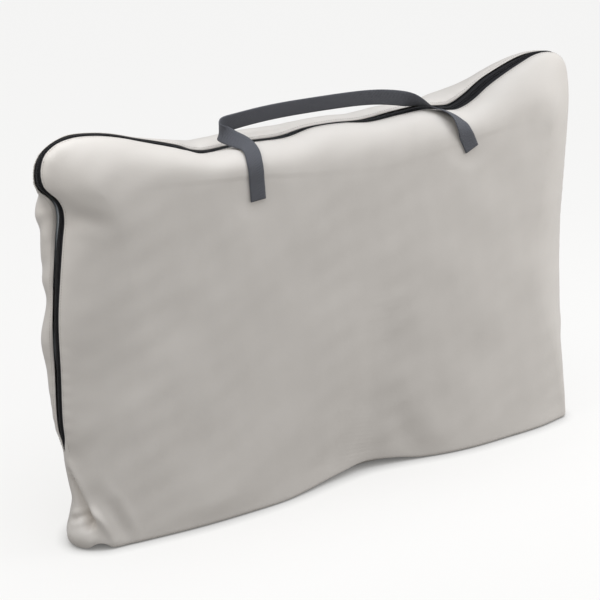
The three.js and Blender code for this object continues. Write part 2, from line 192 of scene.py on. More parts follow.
def grid_faces(rows: int, columns: int, flip: bool = False) -> np.ndarray:
    """The quads of a grid whose vertices are numbered row by row.

    Args:
        rows: rows of vertices.
        columns: vertices in a row.
        flip: whether the quads face the other way.

    Returns:
        One row of four vertex numbers for each quad.
    """
    at = np.arange(rows * columns).reshape(rows, columns)
    quads = np.stack([at[:-1, :-1], at[:-1, 1:], at[1:, 1:], at[1:, :-1]], axis=-1).reshape(-1, 4)
    return quads[:, ::-1] if flip else quads


def vertex_normals(points: np.ndarray, quads: np.ndarray) -> np.ndarray:
    """The outward direction at each vertex of a mesh of quads.

    Args:
        points: the vertices.
        quads: four vertex numbers a row.

    Returns:
        One direction of length 1 for each vertex.
    """
    a, b, c, d = (points[quads[:, i]] for i in range(4))
    across = np.cross(c - a, d - b)
    total = np.zeros_like(points)
    for i in range(4):
        np.add.at(total, quads[:, i], across)
    return unit(total)


def relaxed(points: np.ndarray, quads: np.ndarray, ease: np.ndarray, rounds: int) -> np.ndarray:
    """Evens out a mesh, so that its parts run smoothly into one another.

    Args:
        points: the vertices.
        quads: four vertex numbers a row.
        ease: how freely each vertex moves, from 0 to 1.
        rounds: how many times each vertex moves towards the middle of its neighbours.

    Returns:
        The vertices in their new places.
    """
    first = quads.ravel()
    second = np.roll(quads, -1, axis=1).ravel()
    one, other = np.concatenate([first, second]), np.concatenate([second, first])
    count = np.bincount(one, minlength=len(points))[:, None]
    for _ in range(rounds):
        total = [np.bincount(one, weights=points[other, i], minlength=len(points)) for i in range(3)]
        points = points + ease[:, None] * (np.stack(total, axis=1) / count - points)
    return points


def skin_of(cloth: bpy.types.Object) -> BVHTree:
    """A cloth's outer surface alone, for finding what lies on it or under it."""
    places = [vertex.co for vertex in cloth.data.vertices]
    return BVHTree.FromPolygons(places, [tuple(face.vertices) for face in cloth.data.polygons])


def ribbon(
    name: str,
    stations: list[tuple[Point, Point]],
    width: float,
    thickness: float,
    step: float = 3.0,
    columns: int = 7,
) -> bpy.types.Object:
    """A flat band, such as webbing or tape, with rounded edges and closed ends.

    Args:
        name: the object's name.
        stations: where the band's middle passes, and which way its width points there.
        width: across the band.
        thickness: through the band.
        step: length of one row of faces.
        columns: vertices across one face.

    Returns:
        The band, with a weave map in millimetres.
    """
    line = Line([tuple(place) + tuple(way) for place, way in stations], measured=3)
    rows = max(4, int(line.length / step) + 1)
    along = np.linspace(0, line.length, rows)
    read = line.at(along)
    middle, way = read[:, :3], read[:, 3:]
    tangent = unit(np.gradient(middle, axis=0))
    way = unit(way - (way * tangent).sum(1, keepdims=True) * tangent)
    normal = np.cross(tangent, way)
    across = np.linspace(-1, 1, columns)
    # the edge rows are thinner, as a selvedge is
    half = 0.5 * thickness * (1 - 0.45 * np.abs(across) ** 8)
    loop = np.concatenate([np.stack([across, half], 1), np.stack([across, -half], 1)[::-1]])
    points = (
        middle[:, None]
        + way[:, None] * (loop[None, :, :1] * width / 2)
        + normal[:, None] * loop[None, :, 1:]
    )
    around = len(loop)
    quads = grid_faces(rows, around)
    at = np.arange(rows * around).reshape(rows, around)
    seam = np.stack([at[:-1, -1], at[:-1, 0], at[1:, 0], at[1:, -1]], 1)
    faces = [tuple(int(v) for v in q[::-1]) for q in np.vstack([quads, seam])]
    faces += [tuple(int(v) for v in at[0]), tuple(int(v) for v in at[-1][::-1])]
    weave = np.stack(
        [
            np.broadcast_to(loop[None, :, 0] * width / 2, (rows, around)),
            np.broadcast_to(along[:, None], (rows, around)),
        ],
        axis=-1,
    )
    return mesh_object(name, points.reshape(-1, 3), faces, weave.reshape(-1, 2))


def dashes(name: str, ends: np.ndarray, normals: np.ndarray, radius: float) -> bpy.types.Object:
    """Stitches, each a short length of thread that dips into the cloth at both ends.

    Args:
        name: the object's name.
        ends: for each stitch, its first and last point.
        normals: for each stitch, the way out of the cloth.
        radius: the thread's radius.

    Returns:
        One object that holds all the stitches.
    """
    sides, share = 6, np.array([0.0, 0.18, 0.5, 0.82, 1.0])
    lift = radius * np.array([-1.1, 0.0, 0.25, 0.0, -1.1])
    thick = radius * np.array([0.55, 1.0, 1.0, 1.0, 0.55])
    way = unit(ends[:, 1] - ends[:, 0])
    side = unit(np.cross(way, normals))
    out = np.cross(side, way)
    turn = np.linspace(0, 2 * math.pi, sides, endpoint=False)
    middle = ends[:, :1] + (ends[:, 1:] - ends[:, :1]) * share[None, :, None]
    middle = middle + out[:, None] * lift[None, :, None]
    ring = (
        side[:, None, None] * np.cos(turn)[None, None, :, None]
        + out[:, None, None] * np.sin(turn)[None, None, :, None]
    )
    points = middle[:, :, None] + ring * thick[None, :, None, None]
    faces: list[tuple[int, ...]] = []
    per = len(share) * sides
    for stitch in range(len(ends)):
        first = stitch * per
        for r in range(len(share) - 1):
            for k in range(sides):
                a, b = first + r * sides + k, first + r * sides + (k + 1) % sides
                faces.append((a, a + sides, b + sides, b))
        faces.append(tuple(first + k for k in range(sides)))
        faces.append(tuple(first + per - 1 - k for k in range(sides)))
    return mesh_object(name, points.reshape(-1, 3), faces)


# ---------------------------------------------------------------- finishes


def linear(code: str) -> tuple[float, float, float, float]:
    """Turns an sRGB hex value, such as #B5ADA6, to the linear colour that nodes take."""
    parts = [int(code[i : i + 2], 16) / 255 for i in (1, 3, 5)]
    low = [c / 12.92 if c <= 0.04045 else ((c + 0.055) / 1.055) ** 2.4 for c in parts]
    return (low[0], low[1], low[2], 1.0)


def add_node(
    tree: bpy.types.NodeTree,
    kind: str,
    sockets: dict[str | int, object] | None = None,
    **settings: object,
) -> bpy.types.Node:
    """Adds one node with its settings and links.

    Args:
        tree: the node tree.
        kind: the node's Blender type.
        sockets: for an input's name or number, its value, or the output that feeds it.
        settings: the node's own properties.

    Returns:
        The node.
    """
    made = tree.nodes.new(kind)
    for key, value in settings.items():
        setattr(made, key, value)
    for key, value in (sockets or {}).items():
        if isinstance(value, bpy.types.NodeSocket):
            tree.links.new(value, made.inputs[key])
        else:
            made.inputs[key].default_value = value
    return made


class Coordinates(Enum):
    """What a pattern is laid out by."""

    PLACE = "Object"
    WEAVE = "weave"


@dataclass(frozen=True)
class Finish:
    """What every finish has: its name, its base colours and its shader numbers."""

    name: str
    light: str
    dark: str
    roughness: float
    metallic: float = 0.0
    ior: float = 1.5
    sheen: float = 0.0
    coordinates: Coordinates = Coordinates.PLACE

    def start(self) -> tuple[bpy.types.Material, bpy.types.NodeTree, bpy.types.Node]:
        """Makes the material with its shader.

        Returns:
            The material, its node tree and its Principled shader.
        """
        made = bpy.data.materials.new(self.name)
        made.use_nodes = True
        tree = made.node_tree
        shader = tree.nodes["Principled BSDF"]
        shader.inputs["Roughness"].default_value = self.roughness
        shader.inputs["Metallic"].default_value = self.metallic
        if self.metallic == 0:
            shader.inputs["IOR"].default_value = self.ior
        shader.inputs["Sheen Weight"].default_value = self.sheen
        shader.inputs["Sheen Roughness"].default_value = 0.45
        return made, tree, shader

    def millimetres(self, tree: bpy.types.NodeTree) -> bpy.types.NodeSocket:
        """The place on the piece in millimetres, by its place in the frame or by its weave map."""
        if self.coordinates is Coordinates.WEAVE:
            return add_node(tree, "ShaderNodeUVMap", uv_map=WEAVE_MAP).outputs["UV"]
        place = add_node(tree, "ShaderNodeTexCoord").outputs["Object"]
        return add_node(
            tree, "ShaderNodeVectorMath", {0: place, 3: 1000.0}, operation="SCALE"
        ).outputs["Vector"]

    def shade(self, tree: bpy.types.NodeTree, factor: bpy.types.NodeSocket) -> bpy.types.NodeSocket:
        """The colour between the dark and the light one by a factor."""
        return add_node(
            tree,
            "ShaderNodeMix",
            {0: factor, 6: linear(self.dark), 7: linear(self.light)},
            data_type="RGBA",
        ).outputs[2]


def noise(
    tree: bpy.types.NodeTree, at: bpy.types.NodeSocket, size: float, detail: float = 2.0
) -> bpy.types.NodeSocket:
    """Cloudy noise whose patches are about this many millimetres across."""
    return add_node(
        tree, "ShaderNodeTexNoise", {"Vector": at, "Scale": 1 / size, "Detail": detail}
    ).outputs["Fac"]


def threads(
    tree: bpy.types.NodeTree, at: bpy.types.NodeSocket, spacing: float, direction: str
) -> bpy.types.NodeSocket:
    """Round threads side by side, this many millimetres apart, counted along one axis."""
    turns = 2 * math.pi / spacing
    part = add_node(tree, "ShaderNodeSeparateXYZ", {0: at}).outputs[direction]
    angle = add_node(tree, "ShaderNodeMath", {0: part, 1: turns}, operation="MULTIPLY")
    return add_node(tree, "ShaderNodeMath", {0: angle.outputs[0]}, operation="SINE").outputs[0]


@dataclass(frozen=True)
class CoatedPolyester(Finish):
    """Plain-woven polyester with a coated back: smooth, a little silky, softly crumpled."""

    # a 300 denier plain weave is about 0.5 mm a thread; drawn coarser, so that it shows at all
    thread: float = 1.5
    weave_depth: float = 0.05
    crumple: float = 26.0
    crumple_depth: float = 0.32

    def make(self) -> bpy.types.Material:
        """Makes the material."""
        made, tree, shader = self.start()
        at = self.millimetres(tree)
        warp = threads(tree, at, self.thread, "X")
        weft = threads(tree, at, self.thread, "Z")
        woven = add_node(tree, "ShaderNodeMath", {0: warp, 1: weft}, operation="MULTIPLY").outputs[0]
        patches = noise(tree, at, 160.0, 3.0)
        fleck = noise(tree, at, 1.1, 1.0)
        tone = add_node(
            tree,
            "ShaderNodeMath",
            {0: fleck, 1: 0.35, 2: patches},
            operation="MULTIPLY_ADD",
        ).outputs[0]
        spread = add_node(
            tree, "ShaderNodeMapRange", {"Value": tone, "From Min": 0.35, "From Max": 1.0}
        ).outputs[0]
        shader.inputs["Base Color"].default_value = linear(self.light)
        tree.links.new(self.shade(tree, spread), shader.inputs["Base Color"])
        creases = noise(tree, at, self.crumple, 3.0)
        soft = add_node(
            tree,
            "ShaderNodeBump",
            {"Height": creases, "Distance": self.crumple_depth * MM, "Strength": 0.7},
        ).outputs[0]
        fine = add_node(
            tree,
            "ShaderNodeBump",
            {"Height": woven, "Distance": self.weave_depth * MM, "Strength": 0.5, "Normal": soft},
        ).outputs[0]
        tree.links.new(fine, shader.inputs["Normal"])
        return made


@dataclass(frozen=True)
class Webbing(Finish):
    """Flat woven polypropylene webbing: ribs across, a faint chevron, matt with a dry sheen."""

    coordinates: Coordinates = Coordinates.WEAVE
    # ribs are about 1.2 mm apart; drawn at twice that, so that they show
    rib: float = 2.4
    warp: float = 1.8
    depth: float = 0.28

    def make(self) -> bpy.types.Material:
        """Makes the material."""
        made, tree, shader = self.start()
        at = self.millimetres(tree)
        parts = add_node(tree, "ShaderNodeSeparateXYZ", {0: at}).outputs
        slant = add_node(tree, "ShaderNodeMath", {0: parts["X"]}, operation="ABSOLUTE").outputs[0]
        lean = add_node(
            tree, "ShaderNodeMath", {0: slant, 1: 0.6, 2: parts["Y"]}, operation="MULTIPLY_ADD"
        ).outputs[0]
        skewed = add_node(tree, "ShaderNodeCombineXYZ", {"X": parts["X"], "Y": lean}).outputs[0]
        ribs = threads(tree, skewed, self.rib, "Y")
        cords = threads(tree, at, self.warp, "X")
        cloth = add_node(tree, "ShaderNodeMath", {0: ribs, 1: cords}, operation="ADD").outputs[0]
        fleck = noise(tree, at, 1.6, 2.0)
        # the colour follows the ribs' height, lighter on the raised ribs and darker in the grooves between
        # them: painted light and shade; the fleck adds the yarn's own uneven tone
        tone = add_node(
            tree, "ShaderNodeMath", {0: cloth, 1: 0.09, 2: fleck}, operation="MULTIPLY_ADD"
        ).outputs[0]
        spread = add_node(
            tree, "ShaderNodeMapRange", {"Value": tone, "From Min": 0.25, "From Max": 0.8}
        ).outputs[0]
        tree.links.new(self.shade(tree, spread), shader.inputs["Base Color"])
        bump = add_node(
            tree,
            "ShaderNodeBump",
            {"Height": cloth, "Distance": self.depth * MM, "Strength": 0.8},
        ).outputs[0]
        tree.links.new(bump, shader.inputs["Normal"])
        return made


@dataclass(frozen=True)
class WovenTape(Finish):
    """Narrow woven tape, as a zip or a seam binding has: fine ribs along it, dull."""

    coordinates: Coordinates = Coordinates.WEAVE
    # real threads are 0.4 mm apart; drawn coarser, so that they show
    thread: float = 1.4
    depth: float = 0.12

    def make(self) -> bpy.types.Material:
        """Makes the material."""
        made, tree, shader = self.start()
        at = self.millimetres(tree)
        cords = threads(tree, at, self.thread, "X")
        picks = threads(tree, at, self.thread, "Y")
        cloth = add_node(tree, "ShaderNodeMath", {0: cords, 1: picks}, operation="ADD").outputs[0]
        fleck = noise(tree, at, 2.5, 2.0)
        tree.links.new(self.shade(tree, fleck), shader.inputs["Base Color"])
        bump = add_node(
            tree, "ShaderNodeBump", {"Height": cloth, "Distance": self.depth * MM, "Strength": 0.7}
        ).outputs[0]
        tree.links.new(bump, shader.inputs["Normal"])
        return made


@dataclass(frozen=True)
class SmoothSolid(Finish):
    """Moulded nylon, spun thread or plated zinc: nearly even, with faint handling marks."""

    mark: float = 6.0
    depth: float = 0.04

    def make(self) -> bpy.types.Material:
        """Makes the material."""
        made, tree, shader = self.start()
        at = self.millimetres(tree)
        marks = noise(tree, at, self.mark, 4.0)
        tree.links.new(self.shade(tree, marks), shader.inputs["Base Color"])
        rough = add_node(
            tree,
            "ShaderNodeMapRange",
            {"Value": marks, "To Min": self.roughness * 0.8, "To Max": min(1.0, self.roughness * 1.2)},
        ).outputs[0]
        tree.links.new(rough, shader.inputs["Roughness"])
        bump = add_node(
            tree, "ShaderNodeBump", {"Height": marks, "Distance": self.depth * MM, "Strength": 0.5}
        ).outputs[0]
        tree.links.new(bump, shader.inputs["Normal"])
        return made


@dataclass(frozen=True)
class BrushedCloth(Finish):
    """Brushed polyester pillow cloth and its fibre: matt, fuzzy, uneven in tone."""

    pile: float = 2.2
    depth: float = 0.5

    def make(self) -> bpy.types.Material:
        """Makes the material."""
        made, tree, shader = self.start()
        at = self.millimetres(tree)
        fuzz = noise(tree, at, self.pile, 5.0)
        tree.links.new(self.shade(tree, fuzz), shader.inputs["Base Color"])
        bump = add_node(
            tree, "ShaderNodeBump", {"Height": fuzz, "Distance": self.depth * MM, "Strength": 0.8}
        ).outputs[0]
        tree.links.new(bump, shader.inputs["Normal"])
        return made


# ---------------------------------------------------------------- the studio


@dataclass
class Studio:
    """A plain pale floor, soft light from above and from the right, and the camera."""

    azimuth: float = -33.0
    elevation: float = 21.5
    distance: float = 3252.3
    lens: float = 128.4
    aim: Point = (-20.7, 36.7, 273.2)
    floor_size: float = 40.0
    sky: float = 0.35
    top: float = 2.08
    side: float = 8.5
    side_place: Point = (1.35, -0.75, 0.9)
    fill: float = 4.2
    fill_place: Point = (-0.95, -0.1, 1.3)
    glow: float = 0.73
    bounce: float = 0.19
    contact_shadow_reach: float = 0.03
    backdrop: str = "#F6F5F3"

    def camera(self) -> None:
        """Makes the camera and looks at the bag with it."""
        turn, rise = math.radians(self.azimuth), math.radians(self.elevation)
        back = Vector(
            (math.sin(turn) * math.cos(rise), -math.cos(turn) * math.cos(rise), math.sin(rise))
        )
        data = bpy.data.cameras.new("camera")
        data.lens = self.lens
        data.sensor_width = 36.0
        data.clip_end = 200.0
        made = bpy.data.objects.new("camera", data)
        made.location = Vector(self.aim) * MM + back * self.distance * MM
        made.rotation_euler = back.to_track_quat("Z", "Y").to_euler()
        bpy.context.scene.collection.objects.link(made)
        bpy.context.scene.camera = made

    def light(self) -> None:
        """Makes an even pale sky, a broad sun above and a soft box at the right."""
        scene = bpy.context.scene
        scene.view_settings.view_transform = "Standard"
        world = bpy.data.worlds.new("sky")
        scene.world = world
        world.use_nodes = True
        tree = world.node_tree
        # the sky shows as bright as the paper, and lights the bag less
        seen = add_node(tree, "ShaderNodeLightPath").outputs["Is Camera Ray"]
        strength = add_node(
            tree, "ShaderNodeMapRange", {"Value": seen, "To Min": self.sky, "To Max": 1.0}
        ).outputs[0]
        sky = tree.nodes["Background"]
        sky.inputs["Color"].default_value = linear(self.backdrop)
        tree.links.new(strength, sky.inputs["Strength"])
        sun = bpy.data.lights.new("top", "SUN")
        sun.energy = self.top
        sun.angle = math.radians(62)
        sun.color = linear("#F1F7FF")[:3]
        self.hang("top", sun, (0.08, -0.1, 1.0), (0, 0, 0))
        box = bpy.data.lights.new("side", "AREA")
        box.energy = self.side
        box.size = 0.8
        self.hang("side", box, self.side_place, (0.0, 0.0, 0.3))
        fill = bpy.data.lights.new("fill", "AREA")
        fill.energy = self.fill
        fill.size = 0.5
        self.hang("fill", fill, self.fill_place, (-0.43, 0.0, 0.56))

    def hang(self, name: str, data: bpy.types.Light, place: Point, aim: Point) -> None:
        """Hangs a lamp in metres at a place, and turns it to where it aims."""
        lamp = bpy.data.objects.new(name, data)
        lamp.location = place
        way = Vector(place) - Vector(aim)
        lamp.rotation_euler = way.to_track_quat("Z", "Y").to_euler()
        lamp.visible_camera = False
        bpy.context.scene.collection.objects.link(lamp)

    def floor(self) -> None:
        """Makes the floor, which glows a little, as an overlit paper sweep does; its glow is dimmed close
        to the bag as a painted contact shadow.
        """
        half = self.floor_size / 2 / MM
        corners = np.array([(-half, -half, 0), (half, -half, 0), (half, half, 0), (-half, half, 0)])
        made = mesh_object("floor", corners.astype(float), [(0, 1, 2, 3)])
        paper = bpy.data.materials.new("paper")
        paper.use_nodes = True
        tree = paper.node_tree
        shader = tree.nodes["Principled BSDF"]
        shader.inputs["Base Color"].default_value = linear("#8B8A89")
        shader.inputs["Roughness"].default_value = 1.0
        shader.inputs["Specular IOR Level"].default_value = 0.0
        shader.inputs["Emission Color"].default_value = linear(self.backdrop)
        seen = add_node(tree, "ShaderNodeLightPath").outputs["Is Camera Ray"]
        glow = add_node(
            tree,
            "ShaderNodeMapRange",
            {"Value": seen, "To Min": self.bounce, "To Max": self.glow},
        ).outputs[0]
        # painted contact shadow: ambient occlusion dims the paper's glow close to what stands on it
        near = add_node(tree, "ShaderNodeAmbientOcclusion", {"Distance": self.contact_shadow_reach}, samples=8)
        painted_contact_shadow = add_node(
            tree,
            "ShaderNodeMapRange",
            {"Value": near.outputs["AO"], "From Max": 0.85, "To Min": 0.12, "To Max": 1.0},
        ).outputs[0]
        # the glow with the painted contact shadow in it
        lit = add_node(tree, "ShaderNodeMath", {0: glow, 1: painted_contact_shadow}, operation="MULTIPLY").outputs[0]
        tree.links.new(lit, shader.inputs["Emission Strength"])
        made.data.materials.append(paper)


# ---------------------------------------------------------------- the bag's form


@dataclass(frozen=True)
class Rib:
    """One place round a panel: where the cloth leaves the flat face, and where it meets the zip."""

    face: Point
    seam: Point
    square: float = 2.3
    puff: float = 7.0


@dataclass(frozen=True)
class Fold:
    """A crease in the cloth along a path, with the cloth raised beside it."""

    path: list[Point]
    width: float
    depth: float
    ridge: float = 0.0

    def push(self, points: np.ndarray) -> np.ndarray:
        """How far out of the cloth the fold moves each point."""
        line = Line(self.path)
        marks = line.at(np.linspace(0, line.length, 40))
        away = np.linalg.norm(points[:, None] - marks[None], axis=2)
        share = away.argmin(axis=1) / (len(marks) - 1)
        near = away.min(axis=1) / self.width
        fade = np.sin(math.pi * np.clip(share, 0.04, 0.96)) ** 0.6
        return fade * (self.ridge * np.exp(-((near - 1.9) ** 2)) - self.depth * np.exp(-(near**2)))


@dataclass(frozen=True)
class Swell:
    """A soft rise of the cloth, or a hollow where the height is below zero."""

    middle: Point
    reach: Point
    height: float

    def push(self, points: np.ndarray) -> np.ndarray:
        """How far out of the cloth the swell moves each point."""
        away = (points - np.array(self.middle)) / np.array(self.reach)
        return self.height * np.exp(-(away**2).sum(axis=1))


@dataclass
class BagForm:
    """The shape that the panels, the zip and the pillow share."""

    half_depth: float = 57.0
    zip_opening: float = 10.2
    cloth: float = 1.2
    # the zip's line, from the floor at the left, over the top, to the floor at the right, and how
    # many degrees the zip is rolled to face the front
    zip_points: tuple[Point, ...] = (
        (-444, 0, 0, 0),
        (-447, 0, 16, 0),
        (-441, 0, 42, 0),
        (-436, 0, 64, 0),
        (-440, 0, 90, 0),
        (-444, 0, 118, 0),
        (-445, 0, 142, 0),
        (-450.5, 0, 190, 0),
        (-450, 1, 270, 0),
        (-450, 1, 350, 0),
        (-445, 0, 415, 2),
        (-439, 1, 465, 4),
        (-434.5, 3, 492, 5),
        (-436, 4, 509, 8),
        (-444, 4, 523, 14),
        (-456.3, 4, 534, 19),
        (-463.5, 4, 544, 14),
        (-466.4, 4, 560, 5),
        (-464.5, 4, 575, -1),
        (-456.5, 4, 590, -10),
        (-440, 4, 601, -11),
        (-415, 4, 607, -4),
        (-380, 4, 604.5, -1),
        (-347, 3, 597.5, 2),
        (-310, 2, 585.5, 3),
        (-272, 0, 573.5, 7),
        (-240, 0, 562, 8),
        (-221, 0, 553.5, 3),
        (-200, 0, 550.5, -6),
        (-170, 1, 551, -10),
        (-133, 0, 553, -8),
        (-76, -1, 551, -8),
        (-30, 0, 557.5, -13),
        (20, 0, 556.5, -11),
        (70, 0, 551, -2),
        (125, 0, 554, 3),
        (175, 0, 555.5, 6),
        (204, -1, 550, 8),
        (231, 0, 547, 12),
        (257, 0, 556, 22),
        (290, 0, 576, 22),
        (322, 0, 590, 14),
        (355, 0, 602, 6),
        (378, 0, 608, -4),
        (400, 0, 609, -8),
        (420, 0, 605, -6),
        (435, 0, 592, -2),
        (441, 0, 569, 0),
        (444, 0, 545, 0),
        (444, 0, 500, 0),
        (444, 0, 320, 0),
        (444, 0, 142, 0),
        (444, 0, 70, 0),
        (444, 0, 0, 0),
    )
    left_foot: int = 6
    front_ribs: tuple[Rib, ...] = (
        Rib((-400, 0), (-444, 0), 2.3, 0),
        Rib((-386, 90), (-440, 90), 2.0, 1),
        Rib((-362, 200), (-448, 190), 1.8, 2),
        Rib((-352, 320), (-450, 320), 1.7, 2),
        Rib((-356, 430), (-443, 430), 1.75, 2),
        Rib((-363, 482), (-435, 495), 1.8, 1),
        Rib((-380, 512), (-448, 527), 1.8, 1),
        Rib((-395, 530), (-464, 545), 1.7, 1),
        Rib((-400, 540), (-463, 579), 1.6, 1),
        Rib((-382, 540), (-436, 603), 1.7, 1.5),
        Rib((-350, 537), (-395, 606), 1.9, 2),
        Rib((-312, 535), (-345, 597), 2.2, 2),
        Rib((-247, 532), (-262, 571), 2.4, 2),
        Rib((-190, 529), (-197, 555), 2.3, 2),
        Rib((-136, 522), (-133, 557), 2.3, 2),
        Rib((-56, 508), (-60, 554), 2.4, 2),
        Rib((78, 496), (75, 553), 2.4, 2),
        Rib((182, 508), (190, 555), 2.3, 2),
        Rib((270, 521), (255, 553), 2.3, 2),
        Rib((335, 523), (340, 597), 2.1, 2),
        Rib((372, 519), (396, 609), 1.9, 2),
        Rib((386, 502), (441, 569), 1.65, 1),
        Rib((374, 440), (444, 447), 1.5, 1),
        Rib((362, 326), (444, 326), 1.4, 1),
        Rib((376, 205), (444, 205), 1.6, 1),
        Rib((408, 116), (444, 116), 2.2, 1),
        Rib((424, 50), (444, 50), 3.2, 1),
        Rib((430, 0), (444, 0), 4.0, 0),
    )
    front_corners: tuple[int, int] = (8, 21)
    back_ribs: tuple[Rib, ...] = (
        Rib((-386, 0), (-444, 0), 1.35, 0),
        Rib((-388, 110), (-444, 110), 1.35, 0),
        Rib((-402, 185), (-447, 180), 1.7, 1),
        Rib((-422, 280), (-450, 280), 2.4, 6),
        Rib((-420, 360), (-450, 360), 2.4, 3),
        Rib((-424, 430), (-443, 430), 2.6, 8),
        Rib((-431, 470), (-438, 470), 2.8, 15),
        Rib((-433, 492), (-434.5, 492), 2.9, 20),
        Rib((-430, 512), (-437, 511), 2.5, 16),
        Rib((-418, 528), (-452, 531), 1.5, 0),
        Rib((-410, 543), (-465, 551), 1.25, 0),
        Rib((-398, 548), (-460, 585), 1.2, 0),
        Rib((-384, 547), (-436, 603), 1.25, 0),
        Rib((-340, 545), (-395, 606), 1.35, 0),
        Rib((-290, 541), (-320, 589), 1.5, 0),
        Rib((-240, 541), (-249, 566), 2.1, 2),
        Rib((-200, 548), (-203, 551), 2.7, 8),
        Rib((-161, 544), (-160, 551), 2.7, 6),
        Rib((0, 537), (0, 556), 2.6, 4),
        Rib((180, 537), (185, 555), 2.6, 5),
        Rib((228, 558), (228, 547), 2.8, 9),
        Rib((262, 556), (258, 556), 2.7, 5),
        Rib((300, 551), (290, 576), 2.1, 0),
        Rib((345, 554), (340, 597), 2.0, 1),
        Rib((385, 556), (396, 608), 1.9, 0),
        Rib((414, 540), (441, 569), 1.9, 1),
        Rib((414, 430), (444, 447), 2.4, 3),
        Rib((412, 205), (444, 205), 2.4, 3),
        Rib((418, 0), (444, 0), 3.0, 0),
    )
    back_corners: tuple[int, int] = (11, 25)
    # along the front's lower edge: x, how far the edge bows in, and how high it lifts
    front_edge: tuple[Point, ...] = (
        (-440, 0, 0),
        (-400, -1.5, 0),
        (-330, -8, 0),
        (-260, -12.5, 0),
        (-180, -12.5, 0),
        (-110, -9, 0),
        (-60, 0, 3),
        (0, 9, 9),
        (50, 14, 14),
        (100, 10, 9),
        (150, 0, 1),
        (228, -12, 0),
        (308, -13, 0),
        (380, -11, 0),
        (430, -2, 0),
        (450, 0, 0),
    )
    back_edge: tuple[Point, ...] = ((-450, 0, 0), (-200, -5, 0), (0, 4, 5), (220, -6, 0), (450, 0, 0))
    zip_line: Line = field(init=False)

    def __post_init__(self) -> None:
        """Draws the zip's line."""
        self.zip_line = Line(list(self.zip_points), measured=3)

    def zip_ends(self) -> tuple[float, float]:
        """The lengths along the zip's line at which the zip starts and ends."""
        foot = self.zip_points[self.left_foot]
        left = self.zip_line.nearest(foot[:3])
        right = self.zip_line.nearest((-foot[0], 0, foot[2]))
        return left, right

    def opening(self, along: np.ndarray) -> np.ndarray:
        """Half the gap between the panels' edges: a seam below the zip's feet, then the zip."""
        left, right = self.zip_ends()
        share = smooth_between(left - 2, left + 34, along)
        share *= 1 - smooth_between(right - 12, right + 2, along)
        return self.zip_opening * share

    def zip_frame(self, along: np.ndarray) -> tuple[np.ndarray, np.ndarray, np.ndarray]:
        """Where the zip lies and how it faces.

        Args:
            along: lengths along the zip's line.

        Returns:
            The middle, the way across towards the back, and the way out of the bag.
        """
        read = self.zip_line.at(along)
        middle, roll = read[:, :3], np.radians(read[:, 3:])
        ahead = unit((self.zip_line.at(along + 2.0) - self.zip_line.at(along - 2.0))[:, :3])
        level = unit(np.array([0.0, 1.0, 0.0]) - ahead * ahead[:, 1:2])
        up = np.cross(ahead, level)
        across = level * np.cos(roll) + up * np.sin(roll)
        return middle, across, np.cross(ahead, across)


def graded(length: float, fine: float, coarse: float, until: float) -> np.ndarray:
    """Shares from 0 to 1 along a length, close together at its start.

    Args:
        length: the whole length.
        fine: the spacing at the start.
        coarse: the spacing further on.
        until: where the fine stretch ends.

    Returns:
        The shares.
    """
    first = np.arange(0, until, fine)
    rest = np.linspace(until, length, int((length - until) / coarse) + 1)
    return np.concatenate([first, rest]) / length


